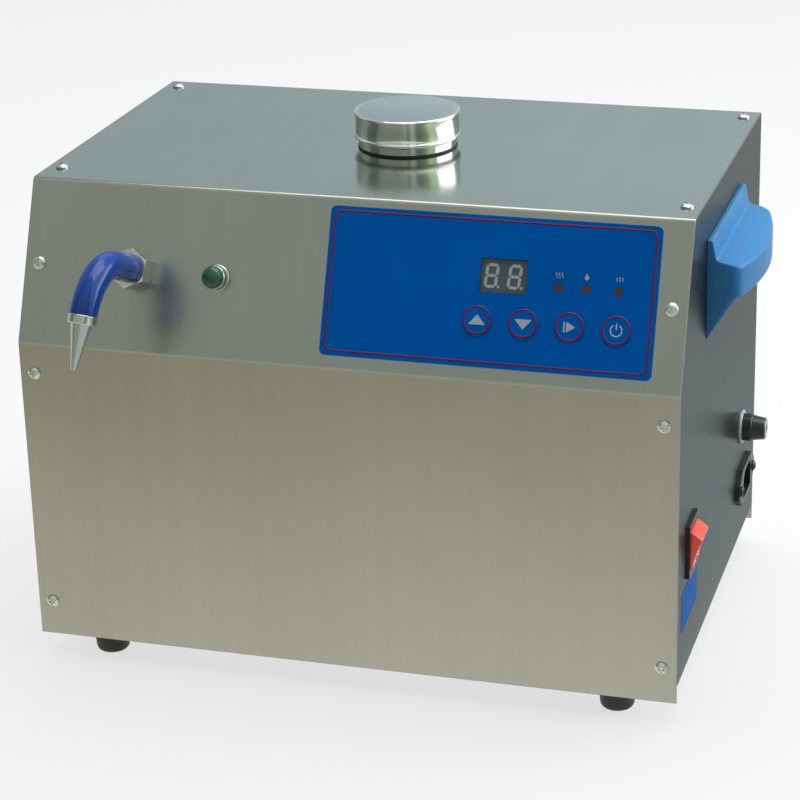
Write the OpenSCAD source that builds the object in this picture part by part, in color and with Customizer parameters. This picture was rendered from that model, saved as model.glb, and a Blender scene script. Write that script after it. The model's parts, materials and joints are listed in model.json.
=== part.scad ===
// Jewelry steam cleaner: a folded sheet casing on four feet, a boiler with a screwed
// filler cap, a bent steam nozzle, a membrane panel with four keys, and side fittings.
// x runs to the right, y to the back and z up. Lengths are in millimetres.
// Modules are drawn with the front panel at y = 0; on_bench() puts the origin under
// the middle of the whole footprint.

/* [Casing] */
// Width across the side panels
case_w = 360; // [350:5:380]
// Depth from the front panel to the back panel
case_d = 243; // [238:1:255]
// Height of the front panel's lower edge above the bench
skirt_clear = 14; // [10:1:18]
// Height of the casing from the front panel's lower edge to the top
case_h = 255; // [252:1:265]
// Height of the upright front panel up to its fold
front_h = 172.5; // [168:0.5:176]
// How far the sloped panel leans back over its height
slope_back = 35; // [32:0.5:38]
// Thickness of the casing sheet
sheet_t = 1.2; // [1:0.1:1.5]
// Outside radius of the cover's folds
fold_r = 2.4; // [2:0.1:3]
// How far the front and back panels hang below the casing floor
floor_rise = 7; // [5:0.5:8]
// Width of the chassis flanges under the cover
flange_w = 16; // [14:0.5:20]
// Gap between the cover and the chassis
cover_gap = 0.15; // [0.1:0.05:0.25]
// Length of one ventilation slot
vent_l = 34; // [26:1:38]
// Width of one ventilation slot
vent_w = 3; // [2:0.5:3.5]
// Distance from one ventilation slot to the next
vent_pitch = 8; // [7:0.5:10]
// Number of slots in a group on the back panel
vent_count = 8; // [5:1:9]
// Distance of the back panel's groups from the middle
back_vent_x = 90; // [80:1:100]
// Distance of their middle below the top
back_vent_drop = 50; // [40:1:60]
// Distance of the floor's groups from the sides
floor_vent_side = 74; // [72:1:76]
// Distance of their middle from the back panel
floor_vent_back = 45; // [43:1:49]

/* [Cover screws] */
// Diameter of the pan heads
screw_head_d = 7; // [6.5:0.1:7.5]
// Height of the pan heads
screw_head_h = 2.3; // [2:0.1:2.6]
// Diameter of the screw shanks
screw_d = 3.8; // [3.4:0.1:4]
// Length of the screw shanks
screw_l = 9; // [7:0.5:12]
// Radial clearance of a screw in its hole
screw_gap = 0.1; // [0.05:0.05:0.2]
// Height of the lower screws above the front panel's lower edge
screw_low = 19.9; // [17:0.1:24]
// Height of the upper front screws above the same edge
screw_high = 155.8; // [150:0.1:158]
// Distance of the slope screws above the front fold, along the slope
slope_screw_v = 43.6; // [40:0.1:48]
// Distance of the front pair of top screws behind the front panel
top_screw_front = 55; // [50:0.5:60]
// Distance of the back pair of top screws from the back panel
top_screw_back = 13.7; // [12:0.1:20]

/* [Feet] */
// Diameter of a foot at its top
foot_top_d = 22; // [20:0.5:24]
// Diameter of a foot just above its rounded lower edge
foot_low_d = 18.5; // [17:0.5:19.5]
// Radius of the rounded lower edge
foot_round = 3; // [2:0.25:3.5]
// Distance of the feet from the sides
foot_inset_x = 35; // [30:1:45]
// Distance of the feet from the front and back panels
foot_inset_y = 17; // [15:0.5:22]
// Diameter of the screw through a foot
foot_screw_d = 4; // [3.5:0.1:4.5]
// Diameter of the screw's head
foot_head_d = 7; // [6.6:0.1:7.5]
// Depth of the recess for the head
foot_recess = 8; // [6:0.5:10]

/* [Handles] */
// Length of a side handle
handle_l = 105; // [95:1:110]
// Distance of the handle's front end behind the front panel
handle_y = 75; // [72:1:80]
// Height of the handle's lowest point above the front panel's lower edge
handle_z = 176.5; // [172:0.5:180]
// Height from that point to the ledge, where it meets the rim
handle_h = 43; // [40:0.5:46]
// How far the ledge stands out at its ends
handle_end = 15.2; // [14:0.1:17]
// How far the ledge stands out at its middle
handle_mid = 22; // [20.5:0.5:25]
// Height of the lip at the ledge's outer edge
lip_h = 16; // [14:0.5:18]
// How far the ledge falls towards its outer edge, at its middle
ledge_fall = 5; // [3:0.5:6]
// Height of the rim above the ledge at the ends
rim_h = 11; // [9:0.5:12]
// Extra height of the rim at its middle
rim_arch = 7; // [5:0.5:8]
// Thickness of the rim where it leaves the ledge
rim_foot = 3.9; // [3.5:0.1:4.5]
// Thickness of the rim at its top
rim_top = 1.4; // [1.2:0.1:2]
// Wall of the moulding
handle_wall = 2.8; // [2.4:0.1:3.2]
// Radius of the ledge's outer edge
lip_r = 2.2; // [1.5:0.1:2.6]
// Radius of the upright corners at the ledge's ends
handle_corner = 4; // [3:0.5:5]
// Diameter of the screws that hold a handle
handle_screw_d = 4; // [3.5:0.1:4.5]

/* [Membrane panel] */
// Width of the membrane panel
overlay_w = 175.2; // [174:0.1:176]
// Length of the membrane panel up the slope
overlay_h = 78; // [77:0.1:79]
// Thickness of the membrane panel
overlay_t = 0.8; // [0.6:0.1:1]
// Corner radius of the membrane panel
overlay_r = 3; // [2:0.5:5]
// Distance of the membrane panel's right edge from the side of the casing
overlay_side = 15.7; // [15.3:0.1:16.3]
// Lower edge of the membrane panel above the front fold
overlay_v = 6.9; // [6.5:0.1:7.3]
// Width of the display window
window_w = 24.6; // [24:0.1:25.2]
// Height of the display window
window_h = 17.8; // [17:0.1:18.4]
// Distance of the display window's left edge from the membrane panel's right edge
window_in = 92.6; // [92:0.1:93.2]
// Lower edge of the display window above the front fold
window_v = 45.4; // [45:0.1:46]
// Height of one display digit
digit_h = 12.7; // [12:0.1:13]
// Width of one display digit
digit_w = 7; // [6.6:0.1:7.2]
// Distance from one digit to the next
digit_pitch = 12.2; // [11.8:0.1:12.4]
// Width of a digit's bars
bar_w = 1.5; // [1.2:0.1:1.7]
// Lean of the digits in degrees
digit_lean = 5; // [3:0.5:6]
// Diameter of a key's top
key_d = 15.4; // [14.8:0.1:16]
// Height of a key's top above the membrane panel
key_raise = 0.5; // [0.5:0.1:0.8]
// How far a key travels when it is pressed
key_travel = 0.5; // [0.4:0.05:0.5]
// Height of the keys above the front fold
key_v = 30.8; // [30:0.1:31.5]
// Distance of the first key from the membrane panel's right edge
key_in = 92.2; // [91.8:0.1:92.8]
// Distance from one key to the next
key_pitch = 24.2; // [23.8:0.1:24.4]
// Diameter of the stem under a key
stem_d = 7; // [6:0.1:8]
// Gap round a key's top and its stem
key_gap = 0.15; // [0.1:0.05:0.2]
// Diameter of the indicator lights
led_d = 5; // [4.6:0.1:5.2]
// Height of the indicator lights above the front fold
led_v = 50.5; // [50:0.1:51.5]
// Depth of the panel board's face behind the casing sheet
panel_board_gap = 8.5; // [8:0.1:10]

/* [Pilot lamp] */
// Distance of the lamp from the left side of the casing
lamp_side = 109; // [105:0.5:114]
// Height of the lamp above the front fold
lamp_v = 42.4; // [38:0.1:46]
// Diameter of the bezel's flange
lamp_flange_d = 14.8; // [14.4:0.1:16]
// Diameter of the bezel's tube
lamp_tube_d = 12.8; // [12.5:0.1:13.2]
// How far the bezel's tube stands out of the casing
lamp_tube_l = 5.6; // [5:0.1:6.5]
// Diameter of the lens
lamp_lens_d = 11.4; // [11:0.1:11.6]
// How far the lens stands out of the casing
lamp_lens_l = 10.4; // [9.5:0.1:11.5]

/* [Nozzle] */
// Distance of the nozzle from the left side of the casing
nozzle_side = 63.5; // [58:0.5:68]
// Height of the nozzle above the front fold, along the slope
nozzle_v = 43.7; // [40:0.1:47]
// Straight length from the casing to the bend
nozzle_reach = 30.8; // [28:0.1:34]
// Radius of the bend at the pipe's middle
bend_r = 27.4; // [25:0.1:31]
// Angle of the bend in degrees
bend_angle = 90.7; // [85:0.1:95]
// Turn of the bend's plane to the left, in degrees
nozzle_turn = 5.8; // [0:0.1:10]
// Outside diameter of the steam pipe
pipe_d = 8; // [7.5:0.1:8.5]
// Wall of the steam pipe
pipe_wall = 1; // [0.8:0.1:1.4]
// Outside diameter of the insulating sleeve
sleeve_d = 14.8; // [14:0.1:15.2]
// Width of the nozzle nut across its flats
nut_af = 19; // [18.5:0.1:20]
// Height of the nozzle nut
nut_h = 12.5; // [11:0.5:14]
// Diameter of the collar at the tip
collar_d = 15.2; // [15:0.1:16]
// Height of the collar
collar_h = 5; // [4:0.1:6]
// Length of the tip's cone
cone_l = 23.8; // [21:0.1:26]
// Diameter of the cone where it leaves the collar
cone_d = 11.4; // [10.5:0.1:12]
// Diameter of the cone's end
cone_end_d = 2.9; // [2.6:0.1:3.4]
// Diameter of the jet
jet_d = 1.4; // [1:0.1:1.8]

/* [Filler cap] */
// Place of the filler behind the front panel
cap_y = 136; // [134:0.5:140]
// Diameter of the cap over its lower bead
cap_d = 59; // [58:0.5:60]
// Height of the cap's top above the casing
cap_top = 20.7; // [20:0.1:22]
// Wall of the spun cap
cap_wall = 0.8; // [0.6:0.1:1]
// Height of the cap's lower edge above the casing
cap_lift_off = 5.6; // [5.4:0.1:6]
// Depth of the two beads on the cap
bead_h = 0.7; // [0.5:0.1:0.9]
// Outside diameter of the filler neck
neck_d = 44; // [43:0.5:45]
// Wall of the filler neck
neck_wall = 3; // [2.5:0.1:3.5]
// Outside diameter of the collar ring under the cap
ring_d = 54.4; // [53.5:0.1:55]
// Thickness of the black gasket under the collar ring
neck_gasket_t = 0.8; // [0.6:0.1:1]
// Gap between the collar ring and the cap
cap_gap = 0.35; // [0.3:0.05:0.5]
// Thickness of the cap's silicone gasket
seal_t = 2; // [1.5:0.1:2.2]
// Thickness of the plate that presses the gasket
plate_t = 1.5; // [1.2:0.1:1.8]
// Thickness of the threaded insert's web
web_t = 1.6; // [1.4:0.1:1.8]
// Diameter of the swivel rivet in the web
rivet_d = 6; // [5:0.1:7]
// Radial clearance of the rivet in the web
rivet_gap = 0.08; // [0.05:0.01:0.1]
// Clearance between the threaded insert and the neck
thread_gap = 0.4; // [0.3:0.05:0.5]

/* [Boiler] */
// Outside diameter of the boiler
boiler_d = 130; // [124:1:134]
// Wall of the boiler
boiler_wall = 1.5; // [1.2:0.1:2]
// Height of each dished end
dish_h = 22; // [20:1:25]
// Length of the straight shell between the dished ends
shell_l = 130; // [124:1:136]
// Distance from the top of the boiler to the casing's top
boiler_drop = 32; // [31:1:36]
// Outside diameter of the boiler's supporting skirt
skirt_d = 116; // [112:1:118]
// Height of the heater above the lower end of the straight shell
heater_rise = 24; // [22:1:30]
// Diameter of the heater's tube
heater_d = 8; // [7:0.5:9]
// Spacing of the two legs of the heater's tube
heater_gap = 14; // [12.5:0.5:14.5]
// Height of the drain pipe above the casing floor
drain_h = 20; // [18:0.5:21]
// Radius of the drain pipe's bend
drain_bend = 14; // [12:0.5:15]
// Outside diameter of the drain pipe
drain_d = 12; // [11:0.5:13]
// How far the drain pipe stands out behind the casing
drain_out = 14; // [12:1:18]
// Length of the drain valve's lever
lever_l = 42; // [36:1:48]

/* [Side fittings] */
// Distance of the rocker switch's front edge behind the front panel
switch_y = 23.5; // [21:0.5:26]
// Height of the switch's lower edge above the front panel's lower edge
switch_z = 60.4; // [58:0.1:64]
// Height of the switch's frame
switch_h = 31; // [30:0.1:32]
// Width of the switch's frame
switch_w = 25.5; // [25:0.1:26.5]
// Thickness of the switch's frame outside the casing
switch_t = 1.8; // [1.6:0.1:2.4]
// Depth of the switch's housing inside the casing
switch_depth = 22; // [20:0.5:24]
// Swing of the rocker in degrees
rocker_swing = 34; // [26:1:34]
// Depth of the rocker's pivot behind the panel's face
pivot_in = 2; // [1.5:0.1:2.5]
// Distance of the fuse holder from the back panel
fuse_back = 48; // [43:0.5:53]
// Height of the fuse holder above the front panel's lower edge
fuse_z = 79; // [77:0.5:84]
// Diameter of the washer under the fuse holder
fuse_washer_d = 19.8; // [19:0.1:21]
// Diameter of the fuse holder's flange
fuse_flange_d = 15.8; // [15:0.1:16.5]
// Diameter of the fuse cap's knob at its base
fuse_cap_d = 14.8; // [14:0.1:15]
// Diameter of the knob at its end
fuse_cap_end_d = 12.6; // [12:0.1:13]
// How far the knob stands out of the casing
fuse_out = 14.5; // [14:0.1:16]
// Diameter of the holder's barrel behind the casing
fuse_barrel_d = 12; // [11.8:0.1:12.6]
// Distance of the power inlet's middle from the back panel
inlet_back = 38; // [34:0.5:43]
// Middle of the power inlet above the front panel's lower edge
inlet_z = 42.2; // [40:0.1:45]
// Length of the power inlet's flange over its ears
inlet_l = 50; // [49.5:0.1:50.5]
// Height of the power inlet's flange
inlet_h = 22.5; // [22.2:0.1:23]
// Thickness of the power inlet's flange
inlet_t = 2.6; // [2.4:0.1:3]
// Spacing of the power inlet's two screws
inlet_screw_pitch = 40; // [39.8:0.1:40.2]

/* [Boards] */
// Width of the control board
board_w = 78; // [74:1:80]
// Depth of the control board
board_l = 100; // [96:1:104]
// Thickness of both boards
board_t = 1.6; // [1.2:0.1:2]
// Height of the control board above the casing floor
board_rise = 8; // [7:0.5:10]
// Distance of the control board's right edge from the side of the casing
board_side = 8; // [7:0.5:12]
// Distance of the control board's front edge behind the front panel
board_y = 58; // [56:1:62]

/* [Hidden] */
$fn = 48;

eps = 0.01;
seat_gap = 0.1;
side_x = case_w / 2;
case_z0 = skirt_clear;
fold_z = case_z0 + front_h;
top_z = case_z0 + case_h;
under_z = case_z0 + floor_rise;
floor_z = under_z + sheet_t;
slope_tilt = atan2(slope_back, case_h - front_h);
slope_l = norm([slope_back, case_h - front_h]);

// Nozzle: where the pipe leaves the slope, and how far the tip reaches in front
nozzle_end = collar_h + cone_l;
nozzle_tip_out = nozzle_reach + bend_r * sin(bend_angle) + nozzle_end * cos(bend_angle);
nozzle_tip_down = bend_r * (1 - cos(bend_angle)) + nozzle_end * sin(bend_angle);
nozzle_tip_v = nozzle_v - nozzle_tip_down * cos(nozzle_turn);
front_reach = nozzle_tip_out * cos(slope_tilt) - nozzle_tip_v * sin(slope_tilt)
    + cone_end_d / 2 * abs(cos(slope_tilt + bend_angle - 90));

// Drain: how far the valve's outlet reaches behind the casing
valve_l = 26;
spout_l = 10;
back_reach = case_d + drain_out + valve_l + spout_l;
origin_y = (back_reach - front_reach) / 2;

// Places along the casing, from its sides and its back
overlay_end = side_x - overlay_side;
overlay_x = overlay_end - overlay_w;
window_x = overlay_end - window_in;
key_x = overlay_end - key_in;
lamp_x = lamp_side - side_x;
nozzle_x = nozzle_side - side_x;
fuse_y = case_d - fuse_back;
inlet_y = case_d - inlet_back;
board_x = side_x - board_side - board_w;

// Screw places
screw_x = side_x - flange_w / 2;
screw_top = case_h - screw_low;
screw_mid = case_h / 2;

// Cap stack, from the cap's inner top down to the neck
rivet_head_h = 1.4;
rivet_head_d = rivet_d + 5;
web_top_z = top_z + cap_top - cap_wall - rivet_head_h - 2 * seat_gap;
plate_top_z = web_top_z - web_t - 2 * seat_gap;
seal_top_z = plate_top_z - plate_t - seat_gap;
neck_top_z = seal_top_z - seal_t - seat_gap;

// Boiler places
boiler_top_z = top_z - boiler_drop;
shell_top_z = boiler_top_z - dish_h;
shell_low_z = shell_top_z - shell_l;
boiler_low_z = shell_low_z - dish_h;
boss_top_z = boiler_top_z + 4;
boss_r = 8;
boss_ring_r = 42;
heater_z = shell_low_z + heater_rise;
heater_plug_d = 30;
drain_z = floor_z + drain_h;
steam_boss = [-boss_ring_r, 0];
level_boss = boss_ring_r * [cos(300), sin(300)];
switch_boss = boss_ring_r * [cos(30), sin(30)];
safety_boss = boss_ring_r * [cos(110), sin(110)];
fitting_d = 9;

// Solenoid valve on the pipe's inner end
valve_block = 26;
pipe_inner = 40;
elbow_z = boss_top_z + 9;

led_x = [for (d = [51.1, 36.9, 20]) overlay_end - d];
panel_board_x = overlay_end - 102.3;
panel_board_w = 96;
panel_board_v = 14;
panel_board_h = 60;
tact_h = 3.5;

// Helpers ---------------------------------------------------------------------

function unit(v) = v / norm(v);
function right_of(v) = [v[1], -v[0]];
function turned(v, a) = [v[0] * cos(a) - v[1] * sin(a), v[0] * sin(a) + v[1] * cos(a)];
function meet(p, d, q, e) =
    p + d * ((q - p)[0] * e[1] - (q - p)[1] * e[0]) / (d[0] * e[1] - d[1] * e[0]);
function before(pts, i) = pts[(i + len(pts) - 1) % len(pts)];
function after(pts, i) = pts[(i + 1) % len(pts)];

// Outline moved inwards by t; its points run clockwise
function inset(pts, t) = [for (i = [0:len(pts) - 1])
    let (d = unit(pts[i] - before(pts, i)), e = unit(after(pts, i) - pts[i]))
    meet(pts[i] + t * right_of(d), d, pts[i] + t * right_of(e), e)];

// Outline with its clockwise corners rounded, one radius for each point
function rounded(pts, radii, steps = 6) = [for (i = [0:len(pts) - 1])
    let (d = unit(pts[i] - before(pts, i)), e = unit(after(pts, i) - pts[i]),
        turn = acos(d * e), r = radii[i])
    each r <= 0 ? [pts[i]] : [for (k = [0:steps])
        pts[i] - d * r * tan(turn / 2) + right_of(d) * r
            - r * turned(right_of(d), -turn * k / steps)]];

function arc_points(c, r, a0, a1, steps) =
    [for (k = [0:steps]) c + r * [cos(a0 + (a1 - a0) * k / steps), sin(a0 + (a1 - a0) * k / steps)]];

function rect_points(w, h) = [[0, 0], [0, h], [w, h], [w, 0]];

// Point on a curve that leaves a along u and arrives at b along w
function curve_point(a, u, b, w, t) =
    a * pow(1 - t, 3) + (a + u) * 3 * t * pow(1 - t, 2) + (b - w) * 3 * t * t * (1 - t) + b * pow(t, 3);
function curve_points(a, u, b, w, steps) = [for (i = [0:steps]) curve_point(a, u, b, w, i / steps)];

module on_bench() { translate([0, -origin_y, 0]) children(); }

// Puts its children on the slope: x across, y up the slope, z out of the panel
module on_slope(x, v, out = 0) {
    translate([x, 0, fold_z]) rotate([90 - slope_tilt, 0, 0]) translate([0, v, out]) children();
}

// Puts its children on the right side panel: z out of the panel, y up, x to the back
module on_side(y, z) {
    translate([side_x, y, z]) rotate([90, 0, 90]) children();
}

// Extrudes an outline of (y, z) points along x, centred
module across(w) { rotate([90, 0, 90]) translate([0, 0, -w / 2]) linear_extrude(w) children(); }

module plate(w, h, t, r) { linear_extrude(t) polygon(rounded(rect_points(w, h), [r, r, r, r])); }

module hex(af, h) { cylinder(d = af / cos(30), h = h, $fn = 6); }

module tube(od, id, h) {
    difference() {
        cylinder(d = od, h = h);
        translate([0, 0, -1]) cylinder(d = id, h = h + 2);
    }
}

// Round bar swept along points, with flat ends
module swept(points, d, sides = 8) {
    n = len(points);
    rings = [for (i = [0:n - 1])
        let (t = unit(points[min(i + 1, n - 1)] - points[max(i - 1, 0)]),
            side = unit(cross(t, abs(t[2]) > 0.95 ? [0, 1, 0] : [0, 0, 1])),
            up = cross(side, t))
        for (k = [0:sides - 1])
            points[i] + d / 2 * (cos(360 * k / sides) * side + sin(360 * k / sides) * up)];
    polyhedron(rings, concat(
        [[for (k = [0:sides - 1]) k]],
        [[for (k = [sides - 1:-1:0]) (n - 1) * sides + k]],
        [for (i = [0:n - 2]) for (k = [0:sides - 1])
            let (next = (k + 1) % sides)
                [i * sides + k, (i + 1) * sides + k, (i + 1) * sides + next, i * sides + next]]));
}

// Casing ----------------------------------------------------------------------

// Side view of the casing as (y, z) points, clockwise from the lower front corner
function case_outline(low) = [[0, low], [0, fold_z], [slope_back, top_z], [case_d, top_z], [case_d, low]];

module all_screw_places() {
    for (s = [-1, 1]) {
        for (h = [screw_low, screw_high])
            translate([s * screw_x, 0, case_z0 + h]) rotate([90, 0, 0]) children();
        on_slope(s * screw_x, slope_screw_v) children();
        for (y = [top_screw_front, case_d - top_screw_back]) translate([s * screw_x, y, top_z]) children();
        for (h = [screw_low, screw_mid, screw_top])
            translate([s * screw_x, case_d, case_z0 + h]) rotate([-90, 0, 0]) children();
    }
}

module vent_group(count) {
    for (i = [0:count - 1])
        translate([(i - (count - 1) / 2) * vent_pitch, 0, 0])
            linear_extrude(sheet_t + 2)
                polygon(rounded([[-vent_w / 2, -vent_l / 2], [-vent_w / 2, vent_l / 2],
                    [vent_w / 2, vent_l / 2], [vent_w / 2, -vent_l / 2]], vent_w * 0.49 * [1, 1, 1, 1], 4));
}

module cover() color([0.62, 0.63, 0.6]) on_bench() {
    inner = inset(case_outline(case_z0), sheet_t);
    inner_r = fold_r - sheet_t;
    difference() {
        across(case_w) polygon(rounded(case_outline(case_z0), [0, fold_r, fold_r, fold_r, 0]));
        across(case_w + 2)
            polygon(rounded([inner[0] - [0, 10], inner[1], inner[2], inner[3], inner[4] - [0, 10]],
                [0, inner_r, inner_r, inner_r, 0]));
        all_screw_places() translate([0, 0, -sheet_t - 1])
            cylinder(d = screw_d + 2 * screw_gap, h = sheet_t + 2);
        on_slope(window_x, window_v, -sheet_t - 1) cube([window_w, window_h, sheet_t + 2]);
        for (i = [0:3]) on_slope(key_x + i * key_pitch, key_v, -sheet_t - 1)
            cylinder(d = stem_d + 2 * key_gap + 1, h = sheet_t + 2);
        for (x = led_x) on_slope(x, led_v, -sheet_t - 1) cylinder(d = led_d + 0.4, h = sheet_t + 2);
        on_slope(lamp_x, lamp_v, -sheet_t - 1) cylinder(d = lamp_barrel_d + 0.3, h = sheet_t + 2);
        on_slope(nozzle_x, nozzle_v, -sheet_t - 1) cylinder(d = gland_d + 0.3, h = sheet_t + 2);
        translate([0, cap_y, top_z - sheet_t - 1]) cylinder(d = neck_d + 0.6, h = sheet_t + 2, $fn = 96);
        translate([0, case_d - sheet_t - 1, drain_z]) rotate([-90, 0, 0])
            cylinder(d = drain_d + 0.6, h = sheet_t + 2);
        for (s = [-1, 1]) translate([s * back_vent_x, case_d + 1, top_z - back_vent_drop])
            rotate([90, 0, 0]) vent_group(vent_count);
    }
}

// Floor and sides, folded from one sheet, with flanges that carry the cover
module chassis() color([0.5, 0.52, 0.52]) on_bench() {
    rim = inset(case_outline(under_z), sheet_t + cover_gap);
    front_y = rim[0][0];
    back_y = rim[4][0];
    r = fold_r - sheet_t - cover_gap;
    side = rounded([[front_y + 5, under_z], [front_y, under_z + 4], rim[1], rim[2], rim[3],
        [back_y, under_z]], [0, 0, r, r, r, 0]);
    flange_in = inset([[front_y, under_z - 10], rim[1], rim[2], rim[3], [back_y, under_z - 10]], sheet_t);
    difference() {
        union() {
            intersection() {
                rotate([90, 0, 0]) translate([0, 0, -case_d]) linear_extrude(case_d) difference() {
                    polygon(rounded([[-side_x, under_z], [-side_x, top_z + 9], [side_x, top_z + 9],
                        [side_x, under_z]], [fold_r, 0, 0, fold_r]));
                    polygon(rounded([[-side_x + sheet_t, floor_z], [-side_x + sheet_t, top_z + 10],
                        [side_x - sheet_t, top_z + 10], [side_x - sheet_t, floor_z]],
                        [fold_r - sheet_t, 0, 0, fold_r - sheet_t]));
                }
                across(case_w + 2) polygon(side);
            }
            for (s = [-1, 1]) translate([s * (side_x - flange_w / 2 - 0.4), 0, 0]) difference() {
                across(flange_w - 0.8) polygon(side);
                across(flange_w + 2) polygon(flange_in);
            }
        }
        all_screw_places() translate([0, 0, -screw_l - 1]) cylinder(d = screw_d + 2 * screw_gap, h = screw_l);
        foot_places() cylinder(d = foot_screw_d + 2 * screw_gap, h = under_z + 20);
        for (a = [0:3]) translate([0, cap_y, under_z - 1]) rotate(45 + 90 * a)
            translate([skirt_bolt_r, 0, 0]) cylinder(d = skirt_bolt_d + 2 * screw_gap, h = sheet_t + 2);
        control_standoff_places(under_z - 1) cylinder(d = standoff_hole_d, h = sheet_t + 2);
        for (s = [-1, 1])
            translate([s * (side_x - floor_vent_side), case_d - floor_vent_back, under_z - 1])
                vent_group(vent_count - 1);
        handle_screw_places() translate([0, 0, -sheet_t - 1])
            cylinder(d = handle_screw_d + 2 * screw_gap, h = sheet_t + 2);
        on_side(switch_y + switch_w / 2, case_z0 + switch_z + switch_h / 2)
            translate([0, 0, -sheet_t / 2])
                cube([switch_w - 3.2, switch_h - 3.2, sheet_t + 2], center = true);
        on_side(fuse_y, case_z0 + fuse_z) translate([0, 0, -sheet_t - 1])
            cylinder(d = fuse_barrel_d + 0.3, h = sheet_t + 2);
        on_side(inlet_y, case_z0 + inlet_z) translate([0, 0, -sheet_t / 2])
            cube([inlet_body_l + 0.6, inlet_body_h + 0.6, sheet_t + 2], center = true);
        inlet_screw_places() translate([0, 0, -sheet_t - 1])
            cylinder(d = inlet_screw_d + 2 * screw_gap, h = sheet_t + 2);
    }
}

// Pan-head screw with a cross recess; its seat is at z = 0 and its shank points down
module pan_screw(head_d, head_h, d, l) {
    edge = head_h * 0.35;
    dome_r = (head_d * head_d / 4 + pow(head_h - edge, 2)) / (2 * (head_h - edge));
    difference() {
        union() {
            intersection() {
                cylinder(d = head_d, h = head_h, $fn = 32);
                translate([0, 0, head_h - dome_r]) sphere(r = dome_r, $fn = 64);
            }
            translate([0, 0, -l]) cylinder(d = d, h = l + eps, $fn = 24);
        }
        for (a = [0, 90]) rotate(a)
            translate([0, 0, head_h]) cube([head_d * 0.56, head_d * 0.14, head_h], center = true);
    }
}

module cover_screws() color([0.8, 0.8, 0.8]) on_bench()
    all_screw_places() pan_screw(screw_head_d, screw_head_h, screw_d, screw_l);

module foot_places() {
    for (x = [-1, 1]) for (y = [foot_inset_y, case_d - foot_inset_y])
        translate([x * (side_x - foot_inset_x), y, 0]) children();
}

module feet() color([0.05, 0.05, 0.05]) on_bench()
    foot_places() difference() {
        rotate_extrude($fn = 64) polygon(concat([[0, 0]],
            arc_points([foot_low_d / 2 - foot_round, foot_round], foot_round, -90, 0, 5),
            [[foot_top_d / 2, under_z], [0, under_z]]));
        translate([0, 0, -1]) cylinder(d = foot_head_d + 1, h = foot_recess + 1);
        cylinder(d = foot_screw_d + 2 * screw_gap, h = under_z + 1);
    }

module foot_screws() color([0.7, 0.7, 0.7]) on_bench() foot_places() {
    head_h = 2.6;
    translate([0, 0, foot_recess]) mirror([0, 0, 1])
        pan_screw(foot_head_d, head_h, foot_screw_d, floor_z + 7 - foot_recess);
    translate([0, 0, floor_z]) difference() {
        hex(7, 3.2);
        translate([0, 0, -1]) cylinder(d = foot_screw_d + 2 * screw_gap, h = 6);
    }
}

// Handles ---------------------------------------------------------------------

handle_zone = handle_h + rim_h + rim_arch;
bow_r = (pow(handle_l / 2, 2) + pow(handle_mid - handle_end, 2)) / (2 * (handle_mid - handle_end));
handle_screw_z = handle_h - 14;
handle_boss_d = 10;
handle_boss_l = 11;

module handle_screw_places() {
    for (s = [0, 1]) mirror([s, 0, 0]) for (e = [-1, 1])
        on_side(handle_y + handle_l / 2 + e * handle_l * 0.3, case_z0 + handle_z + handle_screw_z) children();
}

// Section of the ledge and lip as (distance from the wall, height), widest part
module ledge_section(depth) {
    slope = ledge_fall / handle_mid;
    lip_top = handle_h - slope * depth;
    polygon([[-1, 0], [-1, handle_h + slope], [depth - lip_r, lip_top + slope * lip_r],
        [depth - lip_r * 0.3, lip_top - lip_r * 0.3], [depth, lip_top - lip_r],
        [depth, lip_top - lip_h + 1], [depth - 0.8, lip_top - lip_h],
        [handle_end - 0.8, lip_top - lip_h], [0, 0]]);
}

// Moulded pull: a bowed ledge with a lip, closed ends, a rim along the wall and an
// open pocket underneath for the fingers. x leaves the wall, y runs along it.
module handle_body() {
    pocket_d = handle_mid - handle_wall;
    difference() {
        union() {
            intersection() {
                translate([handle_mid - bow_r, 0, 0]) rotate([0, 0, -20])
                    rotate_extrude(angle = 40, $fn = 360) translate([bow_r - handle_mid, 0]) ledge_section(handle_mid);
                translate([0, -handle_l / 2, -1]) cube([handle_mid + 1, handle_l, handle_zone]);
            }
            intersection() {
                rotate([90, 0, 0]) translate([0, 0, -handle_l / 2]) linear_extrude(handle_l)
                    polygon([[0, 0], [rim_foot, 0], [rim_foot, handle_h],
                        [rim_top, handle_zone], [0, handle_zone]]);
                rim_arch_prism();
            }
        }
        intersection() {
            translate([handle_mid - bow_r, 0, -1])
                cylinder(r = bow_r - handle_wall, h = handle_h + 1 - handle_wall - ledge_fall, $fn = 360);
            translate([rim_foot * 0.7, -handle_l / 2 + handle_wall, -1])
                cube([pocket_d, handle_l - 2 * handle_wall, handle_zone]);
        }
        for (e = [0, 1]) mirror([0, e, 0]) handle_corner_cut();
    }
    handle_bosses(rim_foot * 0.5, handle_boss_d, handle_boss_l);
}

module handle_bosses(from, d, to) {
    for (e = [-1, 1]) translate([from, e * handle_l * 0.3, handle_screw_z]) rotate([0, 90, 0])
        cylinder(d = d, h = to - from);
}

// The rim's arched top, as a prism that stands across the wall
module rim_arch_prism() {
    chord = handle_l / 2;
    arch_r = (chord * chord + rim_arch * rim_arch) / (2 * rim_arch);
    top = handle_h + rim_h;
    half = asin(chord / arch_r);
    rotate([90, 0, 90]) translate([0, 0, -1]) linear_extrude(handle_mid) polygon(concat(
        [[-chord, 0]], arc_points([0, top + rim_arch - arch_r], arch_r, 90 + half, 90 - half, 16),
        [[chord, 0]]));
}

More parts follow.
